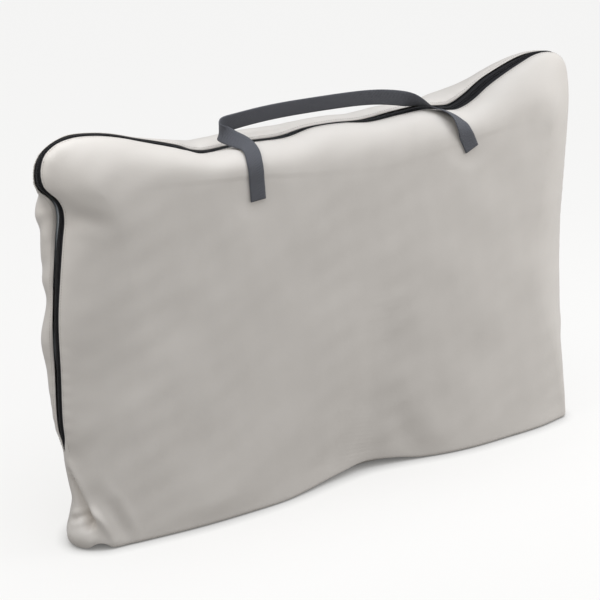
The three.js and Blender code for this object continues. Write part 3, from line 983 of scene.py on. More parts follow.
@dataclass
class Panel:
    """One big cloth panel: a face, and the band that rounds from it to the zip."""

    name: str
    form: BagForm
    side: float
    ribs: tuple[Rib, ...]
    corners: tuple[int, int]
    features: tuple[Fold | Swell, ...] = ()
    calm: tuple[Point, ...] = ()
    edge: tuple[Point, ...] = ()
    fine: float = 2.6
    coarse: float = 5.2
    fine_height: float = 150.0
    fine_width: float = 40.0
    band_rows: int = 24
    rounds: int = 36
    seed: int = 3
    opening: float | None = None
    # soft waves over the whole panel: how long, how high and how many
    waves: tuple[tuple[float, float, int], ...] = ((190.0, 1.2, 7), (75.0, 0.38, 9), (34.0, 0.18, 9))
    calm_reach: Point = (26, 60, 24)
    turn_radius: float = 6.0
    lobe_middle: tuple[float, float] = (-416, -44)
    lobe_reach: float = 15
    lobe_curl: float = 13.0
    floor_gap: float = 0.7
    rows: int = field(init=False, default=0)
    columns: int = field(init=False, default=0)
    bottom_edge: np.ndarray = field(init=False, default=None)

    def face_grid(self) -> np.ndarray:
        """The flat face, filled in between its four edges.

        Returns:
            (x, z) of each vertex, as rows from the bottom up by columns from the left.
        """
        first, last = self.corners
        left = Line([r.face for r in self.ribs[: first + 1]])
        top = Line([r.face for r in self.ribs[first : last + 1]])
        right = Line([r.face for r in self.ribs[last:]][::-1])
        v = graded(left.length, self.fine, self.coarse, self.fine_height)
        u = graded(top.length, self.fine, self.coarse, self.fine_width)
        self.rows, self.columns = len(v), len(u)
        on_left, on_right = left.at(v * left.length), right.at(v * right.length)
        on_top = top.at(u * top.length)
        on_bottom = on_left[0] + (on_right[0] - on_left[0]) * u[:, None]
        v, u = v[:, None, None], u[None, :, None]
        ruled = (1 - u) * on_left[:, None] + u * on_right[:, None]
        lofted = (1 - v) * on_bottom[None] + v * on_top[None]
        flat = (1 - u) * ((1 - v) * on_left[0] + v * on_left[-1])
        flat = flat + u * ((1 - v) * on_right[0] + v * on_right[-1])
        return ruled + lofted - flat

    def rim(self) -> np.ndarray:
        """The face's vertices next to the band: up the left side, over the top, down the right."""
        at = np.arange(self.rows * self.columns).reshape(self.rows, self.columns)
        return np.concatenate([at[:, 0], at[-1, 1:], at[:-1, -1][::-1]])

    def rib_numbers(self, rim: np.ndarray) -> np.ndarray:
        """What the ribs say at each rim vertex.

        Args:
            rim: (x, z) of the rim's vertices.

        Returns:
            For each vertex, the length along the zip's line, the squareness and the puff.
        """
        steps = np.linalg.norm(np.diff(rim, axis=0), axis=1)
        along = np.concatenate([[0], np.cumsum(steps)])
        marks, last = [], 0
        for rib in self.ribs:
            away = np.linalg.norm(rim[last:] - np.array(rib.face), axis=1)
            last += int(away.argmin())
            marks.append(along[last])
        seam = [self.form.zip_line.nearest((r.seam[0], 0, r.seam[1])) for r in self.ribs]
        told = np.array([seam, [r.square for r in self.ribs], [r.puff for r in self.ribs]])
        read = np.stack([np.interp(along, marks, numbers) for numbers in told], axis=1)
        window = np.hanning(15)
        window /= window.sum()
        padded = np.pad(read, ((7, 7), (0, 0)), mode="edge")
        eased = np.stack([np.convolve(c, window, mode="valid") for c in padded.T], axis=1)
        eased[0, 0], eased[-1, 0] = read[0, 0], read[-1, 0]
        return eased

    def surface(self) -> tuple[np.ndarray, np.ndarray, np.ndarray, np.ndarray]:
        """Lays out the smooth panel.

        Returns:
            The vertices, the quads, each vertex's distance from the zip's edge with its length
            along the zip, and the puff there.
        """
        face = self.face_grid()
        rim_at = self.rim()
        flat = face.reshape(-1, 2)
        rim = flat[rim_at]
        told = self.rib_numbers(rim)
        along, square, puff = told[:, 0], told[:, 1], told[:, 2]
        middle, across, _ = self.form.zip_frame(along)
        gap = self.form.opening(along) if self.opening is None else np.full(len(along), self.opening)
        seam = middle + across * (self.side * gap)[:, None]
        turn = np.linspace(0, math.pi / 2, self.band_rows + 1)[1:, None]
        out = np.sin(turn) ** (2 / square)
        in_y = np.clip(np.cos(turn), 0, 1) ** (2 / square)
        face_y = self.side * self.form.half_depth
        band = np.stack(
            [
                rim[:, 0] + (seam[:, 0] - rim[:, 0]) * out,
                face_y * in_y + seam[:, 1] * (1 - in_y),
                rim[:, 1] + (seam[:, 2] - rim[:, 1]) * out,
            ],
            axis=-1,
        )
        face_points = np.stack([flat[:, 0], np.full(len(flat), face_y), flat[:, 1]], axis=-1)
        points = np.vstack([face_points, band.reshape(-1, 3)])
        quads = [grid_faces(self.rows, self.columns, flip=self.side > 0)]
        band_at = len(flat) + np.arange(band.shape[0] * band.shape[1]).reshape(band.shape[:2])
        at = np.vstack([rim_at, band_at])
        strip = np.stack([at[:-1, :-1], at[:-1, 1:], at[1:, 1:], at[1:, :-1]], axis=-1).reshape(-1, 4)
        quads.append(strip[:, ::-1] if self.side > 0 else strip)
        # distance from the zip's edge, measured back along each column of the band
        column = points[at]
        steps = np.linalg.norm(np.diff(column, axis=0), axis=2)
        back = np.concatenate([np.cumsum(steps[::-1], axis=0)[::-1], np.zeros((1, steps.shape[1]))])
        edge = np.full((len(points), 3), 300.0)
        edge[:, 1:] = 0.0
        edge[at.ravel(), 0] = back.ravel()
        edge[at.ravel(), 1] = np.broadcast_to(along, at.shape).ravel()
        edge[at.ravel(), 2] = np.broadcast_to(puff, at.shape).ravel()
        ease = smooth_between(8, 45, edge[:, 0]) * smooth_between(20, 90, points[:, 2])
        points = relaxed(points, np.vstack(quads), ease, self.rounds)
        left = at[:, 0][::-1]
        right = at[:, -1]
        self.bottom_edge = np.concatenate([left, np.arange(1, self.columns - 1), right])
        return points, np.vstack(quads), edge[:, :2], edge[:, 2]

    def sculpt(
        self, points: np.ndarray, quads: np.ndarray, edge: np.ndarray, puff: np.ndarray
    ) -> np.ndarray:
        """Works the cloth: its crown, folds, puckers beside the zip and the turn at the bottom.

        Args:
            points: the smooth panel's vertices.
            quads: its faces.
            edge: distance from the zip's edge, and length along the zip.
            puff: how far the cloth stands out beside the zip.

        Returns:
            The worked vertices.
        """
        draw = np.random.default_rng(self.seed)
        normals = vertex_normals(points, quads)
        x, y, z = points.T
        near, along = edge.T
        still = np.ones(len(points))
        for place in self.calm:
            away = np.linalg.norm((points - np.array(place)) / np.array(self.calm_reach), axis=1)
            still *= smooth_between(0.75, 1.9, away)
        from_floor = smooth_between(2, 40, z)
        from_zip = smooth_between(0, 26, near)
        push = np.zeros(len(points))
        for wave, height, count in self.waves:
            for _ in range(count):
                way = draw.normal(size=3)
                way /= np.linalg.norm(way)
                phase, stretch = draw.uniform(0, 2 * math.pi), draw.uniform(0.7, 1.3)
                ripple = np.sin(points @ way * (2 * math.pi * stretch / wave) + phase)
                push += height / math.sqrt(count) * 1.4 * ripple * from_floor * from_zip
        for feature in self.features:
            push += feature.push(points) * smooth_between(0, 12, near + 2)
        push += 7.0 * np.clip(1 - (x / 430) ** 2, 0, 1) * np.clip(1 - ((z - 270) / 290) ** 2, 0, 1)
        bulge = puff * (near / 20) * np.exp(1 - near / 20) * from_floor
        uneven = np.sin(along / 31.0 + self.seed) + 0.7 * np.sin(along / 13.7 + 2 * self.seed)
        bulge *= 1 + 0.12 * uneven
        close = np.exp(-((near / 13) ** 2)) * (1 - np.exp(-((near / 3) ** 2)))
        pucker = np.sin(along * 2 * math.pi / 21 + 1.6 * np.sin(along / 40.0) + self.seed)
        strong = 0.55 + 0.45 * np.sin(along / 57.0 + 1.3 * self.seed)
        left, right = self.form.zip_ends()
        on_zip = smooth_between(left, left + 20, along) * (1 - smooth_between(right - 20, right, along))
        push = push * still + (bulge + 0.9 * close * pucker * strong * on_zip)
        groove = 0.7 * np.exp(-(((near - 5) / 2.4) ** 2))
        push -= groove * on_zip
        worked = points + normals * push[:, None]
        # the cloth turns under at the bottom
        radius = self.turn_radius
        level = np.clip(radius - z, 0, radius)
        inward = radius - np.sqrt(np.maximum(radius**2 - level**2, 0))
        sideways = unit(normals * np.array([1, 1, 0]))
        worked -= sideways * inward[:, None]
        line = Line(list(self.edge))
        read = np.stack([np.interp(x, line.points[:, 0], c) for c in line.points.T[1:]], axis=1)
        depth = np.clip(np.abs(y) / self.form.half_depth, 0, 1)
        worked[:, 1] -= self.side * read[:, 0] * np.exp(-((z / 120) ** 1.3)) * depth
        worked[:, 2] += read[:, 1] * np.exp(-z / 40) * depth**2
        if self.side < 0:
            # the lobe's underside curls up off the floor
            away = np.linalg.norm(worked[:, :2] - np.array(self.lobe_middle), axis=1)
            curl = self.lobe_curl * np.exp(-((away / self.lobe_reach) ** 4))
            worked[:, 2] += curl * np.exp(-z / 20)
        worked[:, 2] = np.maximum(worked[:, 2], self.floor_gap)
        return worked

    def points_and_faces(self) -> tuple[np.ndarray, np.ndarray]:
        """The finished panel's vertices and quads."""
        points, quads, edge, puff = self.surface()
        return self.sculpt(points, quads, edge, puff), quads

    def area(self, points: np.ndarray, quads: np.ndarray) -> float:
        """The cloth's area in square metres."""
        a, b, c, d = (points[quads[:, i]] for i in range(4))
        return float(np.linalg.norm(np.cross(c - a, d - b), axis=1).sum() / 2 * MM * MM)


FRONT_FEATURES = (
    # the lower left corner: a lit ridge, valleys on both sides of it and a puffed lobe under them
    Fold([(-446, -14, 130), (-438, -28, 98), (-430, -38, 72), (-417, -46, 46), (-402, -53, 12)], 5.2, -9),
    Fold([(-444, -8, 112), (-441, -17, 88), (-436, -27, 62), (-430, -36, 40)], 8.0, 18, 1),
    Fold([(-434, -36, 66), (-426, -42, 26)], 7.0, 17, 0.5),
    Fold([(-438, -42, 126), (-424, -51, 95), (-404, -57, 64), (-388, -57, 26)], 9, 1.2, 1.0),
    Fold([(-402, -57, 70), (-386, -57, 30), (-376, -57, 8)], 8, 1.0, 0.8),
    Fold([(-431, -36, 54), (-439, -22, 46), (-445, -5, 36)], 4.2, 5, 2.0),
    Swell((-438, -22, 18), (24, 24, 17), 8),
    # the face: fuller at the right, a shallow valley above the raised edge
    Swell((262, -57, 230), (130, 60, 190), 4),
    Swell((-250, -57, 230), (120, 60, 170), 2),
    Fold([(25, -57, 10), (40, -57, 90), (62, -57, 190), (70, -57, 300)], 46, 6, 1),
    Fold([(-30, -57, 14), (-5, -57, 60), (8, -57, 120)], 20, 2.5, 0.8),
    Fold([(150, -57, 6), (120, -57, 50), (96, -57, 110)], 22, 2.5, 0.8),
    Fold([(-435, -20, 502), (-422, -42, 500), (-398, -56, 490)], 11, 4, 1.0),
)
BACK_FEATURES = (
    Swell((-452, 26, 305), (30, 40, 30), 5),
    Swell((-448, 26, 365), (30, 40, 26), -4),
    Fold([(-440, 12, 488), (-443, 30, 478), (-436, 48, 460)], 9, 3.5, 1.2),
    Fold([(-446, 14, 430), (-448, 32, 415), (-440, 50, 400)], 10, 2.5, 1.0),
    Swell((0, 57, 260), (300, 60, 190), 5),
    Fold([(-250, 57, 20), (-220, 57, 120), (-210, 57, 230)], 34, 4, 1),
    Fold([(230, 57, 20), (215, 57, 130), (240, 57, 240)], 36, 4, 1),
)


@dataclass
class Shell:
    """The bag's three cloth panels and the bindings on their seams."""

    form: BagForm
    cloth: bpy.types.Material
    binding: bpy.types.Material
    calm_front: tuple[Point, ...] = ((-154, -57, 499), (222, -57, 506))
    calm_back: tuple[Point, ...] = ((-189, 57, 499), (189, 57, 499))
    bottom_rows: int = 26
    # the cut pieces' flat sizes in metres, and the bottom's area in square metres
    panel_flat: tuple[float, float] = (0.98, 0.69)
    bottom_flat: tuple[float, float] = (0.888, 0.104)
    bottom_area: float = 0.088
    binding_width: float = 10.0
    binding_thickness: float = 0.8
    binding_reach: float = 392.0
    binding_inset: float = 3.2
    binding_lift: float = 6.6
    side_tape_width: float = 14.0
    side_tape_thickness: float = 0.6
    side_tape_inset: float = 6.5
    side_tape_foot: float = 16.0
    zip_clearance: float = 6.0
    bottom_columns: int = 220
    bottom_level: float = 2.0

    def panels(self, opening: float | None = None) -> list[Panel]:
        """Describes the front and the back.

        Args:
            opening: half the gap at the zip, or None for the bag's own.

        Returns:
            The front panel and the back panel.
        """
        shared = {"form": self.form, "opening": opening}
        front = Panel(
            "front_panel", side=-1, ribs=self.form.front_ribs, corners=self.form.front_corners,
            features=FRONT_FEATURES, calm=self.calm_front, edge=self.form.front_edge, seed=3, **shared,
        )
        back = Panel(
            "back_panel", side=1, ribs=self.form.back_ribs, corners=self.form.back_corners,
            features=BACK_FEATURES, calm=self.calm_back, edge=self.form.back_edge, seed=8, **shared,
        )
        return [front, back]

    def bottom(self, front: np.ndarray, back: np.ndarray, rows: int) -> tuple[np.ndarray, np.ndarray]:
        """The bottom panel, between the lower edges of the front and the back.

        Args:
            front: the front's lower edge, from the left.
            back: the back's lower edge, from the left.
            rows: rows of vertices across.

        Returns:
            The vertices and the quads.
        """
        count = self.bottom_columns
        read = []
        for edge in (front, back):
            steps = np.linalg.norm(np.diff(edge, axis=0), axis=1)
            along = np.concatenate([[0], np.cumsum(steps)])
            at = np.linspace(0, along[-1], count)
            read.append(np.stack([np.interp(at, along, c) for c in edge.T], axis=1))
        share = np.linspace(0, 1, rows)[:, None, None]
        points = read[0][None] * (1 - share) + read[1][None] * share
        sag = np.minimum(1, np.minimum(share, 1 - share)[..., 0] * 6)
        points[..., 2] = points[..., 2] * (1 - sag) + self.bottom_level * sag
        return points.reshape(-1, 3), grid_faces(rows, count, flip=True)

    def dress(self, made: bpy.types.Object, thickness: float) -> None:
        """Gives a panel its thickness, its cloth and its body."""
        layer = made.modifiers.new("thickness", "SOLIDIFY")
        layer.thickness = thickness * MM
        layer.offset = -1.0
        made.data.materials.append(self.cloth)
        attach(made, "bag")

    def build(self) -> None:
        """Makes the panels and their bindings."""
        edges = []
        for panel in self.panels():
            points, quads = panel.points_and_faces()
            made = mesh_object(panel.name + "_cloth", points, [tuple(map(int, q)) for q in quads])
            self.dress(made, self.form.cloth)
            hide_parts(panel.name)
            area = panel.area(points, quads)
            edges.append(points[panel.bottom_edge])
            LOG.info("%s: %d vertices, %.3f square metres of cloth", made.name, len(points), area)
        points, quads = self.bottom(edges[0], edges[1], self.bottom_rows)
        made = mesh_object("bottom_panel_cloth", points, [tuple(map(int, q)) for q in quads])
        self.dress(made, self.form.cloth)
        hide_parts("bottom_panel")
        self.bindings(edges)

    def bindings(self, edges: list[np.ndarray]) -> None:
        """Makes the bindings on the two bottom seams and the tapes on the two side seams."""
        for edge, name, side in ((edges[0], "front", -1), (edges[1], "back", 1)):
            inner = edge[np.abs(edge[:, 0]) < self.binding_reach][::6].copy()
            inner[:, 1] -= side * self.binding_inset
            inner[:, 2] += self.binding_lift
            stations = [(tuple(p), (0.0, 0.0, 1.0)) for p in inner]
            made = ribbon(
                f"bottom_binding_{name}", stations, self.binding_width, self.binding_thickness, step=8
            )
            made.data.materials.append(self.binding)
            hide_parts(f"bottom_seam_binding_{name}")
            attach(made, "bag")
        seam = self.form.zip_line
        foot, head = self.form.zip_ends()
        runs = (
            ("left", self.side_tape_foot, foot - self.zip_clearance),
            ("right", head + self.zip_clearance, seam.length - self.side_tape_foot),
        )
        for name, start, stop in runs:
            middle, across, out = self.form.zip_frame(np.linspace(start, stop, 8))
            stations = [(tuple(p), tuple(w)) for p, w in zip(middle - out * self.side_tape_inset, across)]
            made = ribbon(
                f"side_tape_{name}", stations, self.side_tape_width, self.side_tape_thickness, step=8
            )
            made.data.materials.append(self.binding)
            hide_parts(f"side_seam_tape_{name}")
            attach(made, "bag")


@dataclass
class Zip:
    """The long coil zip: two tapes, two coils, their stitching, and the slider with its pull."""

    form: BagForm
    tape: bpy.types.Material
    coil: bpy.types.Material
    metal: bpy.types.Material
    thread: bpy.types.Material
    tape_width: float = 12.0
    tape_slope: float = 0.26
    tape_drop: float = 1.4
    tape_thickness: float = 0.6
    turn_length: float = 2.5
    strand: float = 0.5
    stitch_from_edge: float = 4.6
    stitch_pitch: float = 4.2
    stitch_length: float = 3.0

    def tapes(self) -> None:
        """Makes the two tapes."""
        left, right = self.form.zip_ends()
        along = np.arange(left - 8, right + 8, 8.0)
        middle, across, out = self.form.zip_frame(along)
        for side, name in ((-1, "front"), (1, "back")):
            lean = across * math.cos(self.tape_slope) - out * (side * math.sin(self.tape_slope))
            line = middle + lean * (side * (0.5 + self.tape_width / 2)) - out * self.tape_drop
            stations = [(tuple(p), tuple(w)) for p, w in zip(line, lean)]
            made = ribbon(f"zip_band_{name}", stations, self.tape_width, self.tape_thickness)
            made.data.materials.append(self.tape)
            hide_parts(f"zip_tape_{name}")
            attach(made, "bag")

    def coils(self) -> None:
        """Makes the two coils, each one strand wound round the inner edge of its tape."""
        left, right = self.form.zip_ends()
        start, stop = left + 4.5, right - 4.5
        per_turn, around = 8, 4
        turns = int((stop - start) / self.turn_length)
        along = np.linspace(start, stop, turns * per_turn)
        middle, across, out = self.form.zip_frame(along)
        for side, name, phase in ((-1, "front", 0.0), (1, "back", math.pi)):
            angle = np.arange(len(along)) * (2 * math.pi / per_turn) + phase
            centre = (
                middle
                + across * (side * 1.5 + 1.35 * np.cos(angle))[:, None]
                + out * (-0.5 + 0.8 * np.sin(angle))[:, None]
            )
            ahead = unit(np.gradient(centre, axis=0))
            one = unit(np.cross(ahead, out))
            two = np.cross(ahead, one)
            turn = np.linspace(0, 2 * math.pi, around, endpoint=False)
            ring = (
                one[:, None] * np.cos(turn)[None, :, None]
                + two[:, None] * np.sin(turn)[None, :, None]
            )
            points = (centre[:, None] + ring * self.strand).reshape(-1, 3)
            rows = len(along)
            at = np.arange(rows * around).reshape(rows, around)
            at = np.hstack([at, at[:, :1]])
            quads = np.stack([at[:-1, :-1], at[:-1, 1:], at[1:, 1:], at[1:, :-1]], -1).reshape(-1, 4)
            faces = [tuple(map(int, q)) for q in quads]
            faces += [tuple(map(int, at[0, :-1][::-1])), tuple(map(int, at[-1, :-1]))]
            made = mesh_object(f"zip_teeth_{name}", points, faces)
            made.data.materials.append(self.coil)
            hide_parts(f"zip_coil_{name}")
            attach(made, "bag")

    def stitching(self, surfaces: list[bpy.types.Object]) -> None:
        """Sews each panel's edge down with a row of stitches that lies on the cloth.

        Args:
            surfaces: the front and the back panel.
        """
        left, right = self.form.zip_ends()
        starts = np.arange(left + 6, right - 8, self.stitch_pitch)
        for side, name, cloth in ((-1, "front", surfaces[0]), (1, "back", surfaces[1])):
            skin = skin_of(cloth)
            ends = []
            for along in (starts, starts + self.stitch_length):
                middle, across, out = self.form.zip_frame(along)
                reach = side * (self.form.zip_opening + self.stitch_from_edge)
                ends.append(middle + across * reach + out * 2.0)
            placed, normals = [], []
            for first, last in zip(*ends):
                pair = []
                for point in (first, last):
                    where, normal, _, _ = skin.find_nearest(Vector(point * MM))
                    pair.append((np.array(where) / MM, np.array(normal)))
                placed.append([p for p, _ in pair])
                normals.append(pair[0][1] + pair[1][1])
            made = dashes(f"zip_stitching_{name}", np.array(placed), unit(np.array(normals)), 0.42)
            made.data.materials.append(self.thread)
            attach(made, "bag")

    def build(self, nodes: dict[str, bpy.types.Object]) -> None:
        """Makes the zip and dresses its metal parts.

        Args:
            nodes: the CAD nodes.
        """
        self.tapes()
        self.coils()
        self.stitching([bpy.data.objects["front_panel_cloth"], bpy.data.objects["back_panel_cloth"]])
        for name in ("zip_slider", "zip_pull", "zip_bottom_stop", "zip_stop_front", "zip_stop_back"):
            dress_node(nodes[name], self.metal)
        LOG.info("zip: tapes, coils, stitching, slider, pull and stops")


def dress_node(node: bpy.types.Object, material: bpy.types.Material) -> None:
    """Gives a CAD node a material."""
    node.data.materials.clear()
    node.data.materials.append(material)


@dataclass
class Handles:
    """The two webbing handles, sewn on outside the panels."""

    webbing: bpy.types.Material
    thread: bpy.types.Material
    patch: bpy.types.Material
    width: float = 25.0
    thickness: float = 1.6
    sewn_plane: float = 58.1
    columns: int = 11
    rest_gap: float = 1.0
    # the front handle leans left at its left end and twists once at its right end
    front_stations: tuple[tuple[Point, Point], ...] = (
        ((-153, -58.1, 485), (1, 0, 0.0)),
        ((-154, -58.1, 499), (1, 0, 0.04)),
        ((-155, -58.1, 512), (1, 0, 0.08)),
        ((-155.8, -58.1, 522), (1, 0, 0.1)),
        ((-156.5, -55, 540), (1, 0, 0.08)),
        ((-154.5, -44, 554), (1, 0.05, 0.1)),
        ((-157.5, -31, 562), (0.9, 0.22, 0.35)),
        ((-172, -17, 570), (0.45, 0.4, 0.8)),
        ((-183, -5.1, 578), (0, 0, 1)),
        ((-174, 4.9, 582), (0, -0.05, 1)),
        ((-147, 6.9, 585), (0, -0.15, 1)),
        ((-95, 4.9, 589), (0, -0.2, 1)),
        ((-35, 1.9, 590), (0, -0.25, 1)),
        ((70, -2.1, 587), (0, -0.25, 1)),
        ((110, -5.1, 582), (0, -0.25, 1)),
        ((140, -8.1, 575), (-0.08, -0.32, 0.95)),
        ((160, -12.1, 568), (-0.3, -0.65, 0.7)),
        ((176, -20, 561), (-0.45, -0.85, 0.3)),
        ((188, -31, 555), (-0.55, -0.8, 0.22)),
        ((200, -45, 545), (-0.68, -0.7, 0.1)),
        ((209, -56, 533), (-0.92, -0.3, -0.15)),
        ((214, -59, 520), (-0.97, 0, -0.24)),
        ((220.5, -58.6, 508), (-0.97, 0, -0.26)),
        ((226, -58.1, 496), (-0.97, 0, -0.28)),
    )
    back_half: tuple[tuple[Point, Point], ...] = (
        ((189, 58.1, 486), (1, 0, 0)),
        ((189, 58.1, 512), (1, 0, 0)),
        ((189, 59.4, 522), (1, 0, 0)),
        ((189, 62.9, 525), (1, 0, 0)),
        ((189, 68.1, 522), (1, 0, 0)),
        ((188, 70.6, 511), (1, 0.05, 0)),
        ((184, 73.6, 490), (0.9, 0.35, 0)),
        ((176, 75.6, 466), (0.55, 0.8, 0.1)),
        ((159, 77.6, 442), (0.2, 1, 0.2)),
        ((127, 78.6, 421), (0, 1, 0.25)),
        ((79, 79.6, 409), (0, 1, 0.3)),
    )
    box: float = 19.0
    stitch_pitch: float = 3.6
    stitch_length: float = 2.5

    def strap(self, name: str, stations: list[tuple[Point, Point]], hinge: str) -> bpy.types.Object:
        """Makes one strap and the CAD nodes' stand-in.

        Args:
            name: front or back.
            stations: where it passes and which way its width points.
            hinge: the CAD handle node that the strap stands in for, which is hidden.

        Returns:
            The strap.
        """
        made = ribbon(f"{name}_strap", stations, self.width, self.thickness, step=2.5, columns=self.columns)
        made.data.materials.append(self.webbing)
        nodes = [f"handle_end_{name}_{end}" for end in ("left", "right")]
        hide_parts(hinge, *nodes)
        return made

    def clear_of(self, made: bpy.types.Object, cloths: list[bpy.types.Object]) -> None:
        """Lifts a strap, row by row, to where it lies on the cloth and not in it.

        Args:
            made: the strap.
            cloths: the panels that it may lie on.
        """
        points = np.empty(len(made.data.vertices) * 3)
        made.data.vertices.foreach_get("co", points)
        rows = points.reshape(-1, 2 * self.columns, 3) / MM
        skins = [skin_of(cloth) for cloth in cloths]
        moves = np.zeros((len(rows), 3))
        for number, row in enumerate(rows):
            for point in row:
                for skin in skins:
                    where, normal, _, _ = skin.find_nearest(Vector(point * MM))
                    away = (Vector(point * MM) - where).dot(normal) / MM
                    short = self.rest_gap - away
                    if -30 < away and short > max(0.0, float(np.linalg.norm(moves[number]))):
                        moves[number] = np.array(normal) * short
        window = np.hanning(11)
        window /= window.sum()
        padded = np.pad(moves, ((5, 5), (0, 0)), mode="edge")
        eased = np.stack([np.convolve(c, window, mode="valid") for c in padded.T], axis=1)
        long = np.linalg.norm(eased, axis=1)
        need = np.linalg.norm(moves, axis=1)
        eased *= np.maximum(1.0, need / np.maximum(long, 1e-6) * (long > 0.05))[:, None]
        made.data.vertices.foreach_set("co", ((rows + eased[:, None]) * MM).ravel())
        made.data.update()
        LOG.info("%s: lifted by up to %.1f mm", made.name, float(np.linalg.norm(eased, axis=1).max()))

    def box_stitches(self, name: str, foot: Point, head: Point, side: float) -> None:
        """Sews one strap end down with a box and a cross.

        Args:
            name: the CAD node that it stands for.
            foot: the middle of the strap's end.
            head: the middle of the strap where the box ends.
            side: -1 at the front, 1 at the back.
        """
        up = unit(np.array(head) - np.array(foot))
        across = unit(np.cross(up, np.array([0.0, float(side), 0.0])))
        half = self.box / 2
        centre = (np.array(foot) + np.array(head)) / 2
        plane = side * (self.sewn_plane + self.thickness / 2 + 0.1)
        corners = [(-half, -half), (half, -half), (half, half), (-half, half)]
        legs = [(corners[i], corners[(i + 1) % 4]) for i in range(4)]
        legs += [(corners[0], corners[2]), (corners[1], corners[3])]
        ends = []
        for (a, b), (c, d) in legs:
            start, stop = centre + across * a + up * b, centre + across * c + up * d
            length = float(np.linalg.norm(stop - start))
            count = max(2, round(length / self.stitch_pitch))
            for i in range(count):
                first = start + (stop - start) * ((i + 0.5) / count)
                reach = unit(stop - start) * self.stitch_length / 2
                ends.append([first - reach, first + reach])
        placed = np.array(ends)
        placed[..., 1] = plane
        normals = np.tile(np.array([0.0, float(side), 0.0]), (len(placed), 1))
        made = dashes("sewn_" + name, placed, normals, 0.45)
        made.data.materials.append(self.thread)
        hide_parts(name)
        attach(made, "bag")

    def build(self, nodes: dict[str, bpy.types.Object]) -> None:
        """Makes both straps with their stitching.

        Args:
            nodes: the CAD nodes.
        """
        front = self.strap("front", list(self.front_stations), "front_handle")
        self.clear_of(front, [bpy.data.objects["front_panel_cloth"]])
        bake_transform(front)
        half = list(self.back_half)
        mirrored = [((-p[0], p[1], p[2]), (w[0], -w[1], -w[2])) for p, w in half]
        back = self.strap("back", mirrored + half[::-1], "back_handle")
        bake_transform(back)
        ends = (
            ("front_left", (-153, -58.1, 486), (-155, -58.1, 512), -1),
            ("front_right", (225, -58.1, 497.5), (214.5, -58.1, 519), -1),
            ("back_left", (-189, 58.1, 486), (-189, 58.1, 512), 1),
            ("back_right", (189, 58.1, 486), (189, 58.1, 512), 1),
        )
        for name, foot, head, side in ends:
            self.box_stitches(f"handle_stitch_{name}", foot, head, side)
            dress_node(nodes[f"handle_patch_{name}"], self.patch)
        LOG.info("handles: two straps, four sewn ends")


@dataclass
class Pillow:
    """The pillow inside: a cover of brushed cloth and its fibre filling."""

    shell: Shell
    cover: bpy.types.Material
    fibre: bpy.types.Material
    clearance: float = 11.0
    cover_gap: float = 5.0
    bottom_rows: int = 12
    voxel: float = 6.0
    fill: float = 0.85

    def body(self, name: str, inset: float, material: bpy.types.Material) -> bpy.types.Object:
        """Makes a closed form inside the bag.

        Args:
            name: the object's name.
            inset: how far inside the bag's outer surface it lies.
            material: its finish.

        Returns:
            The closed form.
        """
        points, faces, edges, first = [], [], [], 0
        for panel in self.shell.panels(opening=0.0):
            own, quads = panel.points_and_faces()
            points.append(own)
            faces += [tuple(int(v) + first for v in q) for q in quads]
            edges.append(own[panel.bottom_edge])
            first += len(own)
        own, quads = self.shell.bottom(edges[0], edges[1], self.bottom_rows)
        points.append(own)
        faces += [tuple(int(v) + first for v in q) for q in quads]
        made = mesh_object(name, np.vstack(points), faces)
        close_up(made, MM * self.voxel, MM * inset)
        made.data.materials.append(material)
        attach(made, "bag")
        return made

    def build(self) -> None:
        """Makes the cover and the filling."""
        cover = self.body("packed_pillow", self.clearance, self.cover)
        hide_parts("pillow_cover")
        inner = self.body("pillow_fibre", self.clearance + self.cover_gap, self.fibre)
        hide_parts("pillow_filling")
        LOG.info("pillow: cover and filling")


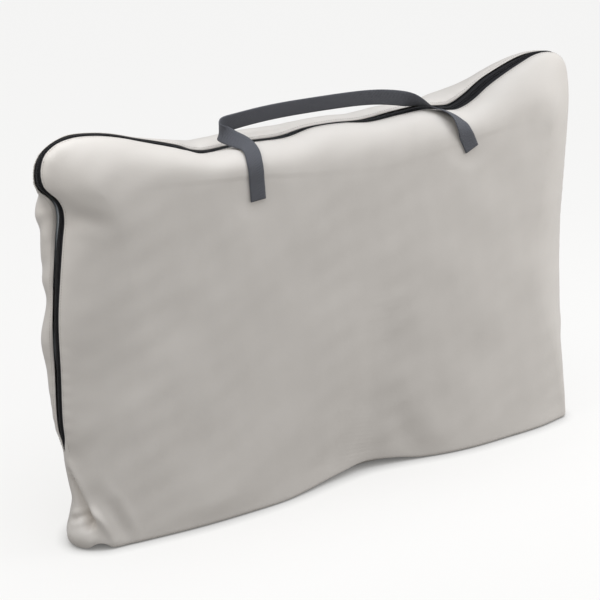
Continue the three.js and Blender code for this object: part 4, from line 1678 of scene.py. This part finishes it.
def close_up(made: bpy.types.Object, reach: float, inset: float) -> None:
    """Makes one closed skin of an object's parts by remeshing it, drawn in and calmed.

    Args:
        made: the object.
        reach: the remesh's voxel size, in metres.
        inset: how far the skin is drawn in, in metres.
    """
    for step in ("skin", "new_skin"):
        layer = made.modifiers.new(step, "REMESH")
        layer.mode = "VOXEL"
        layer.voxel_size = reach
        layer.use_smooth_shade = True
        if step == "skin":
            drawn = made.modifiers.new("inset", "DISPLACE")
            drawn.mid_level = 0.0
            drawn.strength = -inset
    calm = made.modifiers.new("calm", "SMOOTH")
    calm.iterations = 6
    graph = bpy.context.evaluated_depsgraph_get()
    solid = bpy.data.meshes.new_from_object(made.evaluated_get(graph))
    made.modifiers.clear()
    made.data = solid


def main() -> None:
    """Builds the scene in order."""
    logging.basicConfig(level=logging.INFO, format="%(message)s")
    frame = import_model()
    nodes = frame["nodes"]
    studio = Studio()
    studio.camera()
    studio.light()
    studio.floor()

    cloth = CoatedPolyester("coated_polyester", "#DDD7D0", "#D7D1CA", 0.55, sheen=0.15).make()
    webbing = Webbing("polypropylene_webbing", "#6C6E75", "#47484E", 0.75, sheen=0.1).make()
    tape = WovenTape("polyester_zip_tape", "#1E1D22", "#131216", 0.85, sheen=0.05).make()
    binding = WovenTape("polyester_seam_tape", "#8E8984", "#7C7772", 0.8).make()
    coil = SmoothSolid("moulded_nylon_coil", "#1A191D", "#111014", 0.45, ior=1.53).make()
    metal = SmoothSolid("plated_zinc", "#5A5B60", "#3E3F43", 0.36, metallic=1.0).make()
    thread = SmoothSolid("polyester_thread", "#C9C2BB", "#B4ADA6", 0.7).make()
    dark_thread = SmoothSolid("dark_polyester_thread", "#6A6C73", "#505258", 0.65).make()
    cover = BrushedCloth("brushed_polyester", "#B9C0C4", "#A3AAAF", 0.9, sheen=0.3).make()
    fibre = BrushedCloth("hollow_fibre", "#F2F1EE", "#DEDDDA", 0.95).make()

    form = BagForm()
    shell = Shell(form, cloth, binding)
    Pillow(shell, cover, fibre).build()
    shell.build()
    bpy.context.view_layer.update()
    Zip(form, tape, coil, metal, thread).build(nodes)
    Handles(webbing, dark_thread, cloth).build(nodes)


if __name__ == "__main__":
    main()
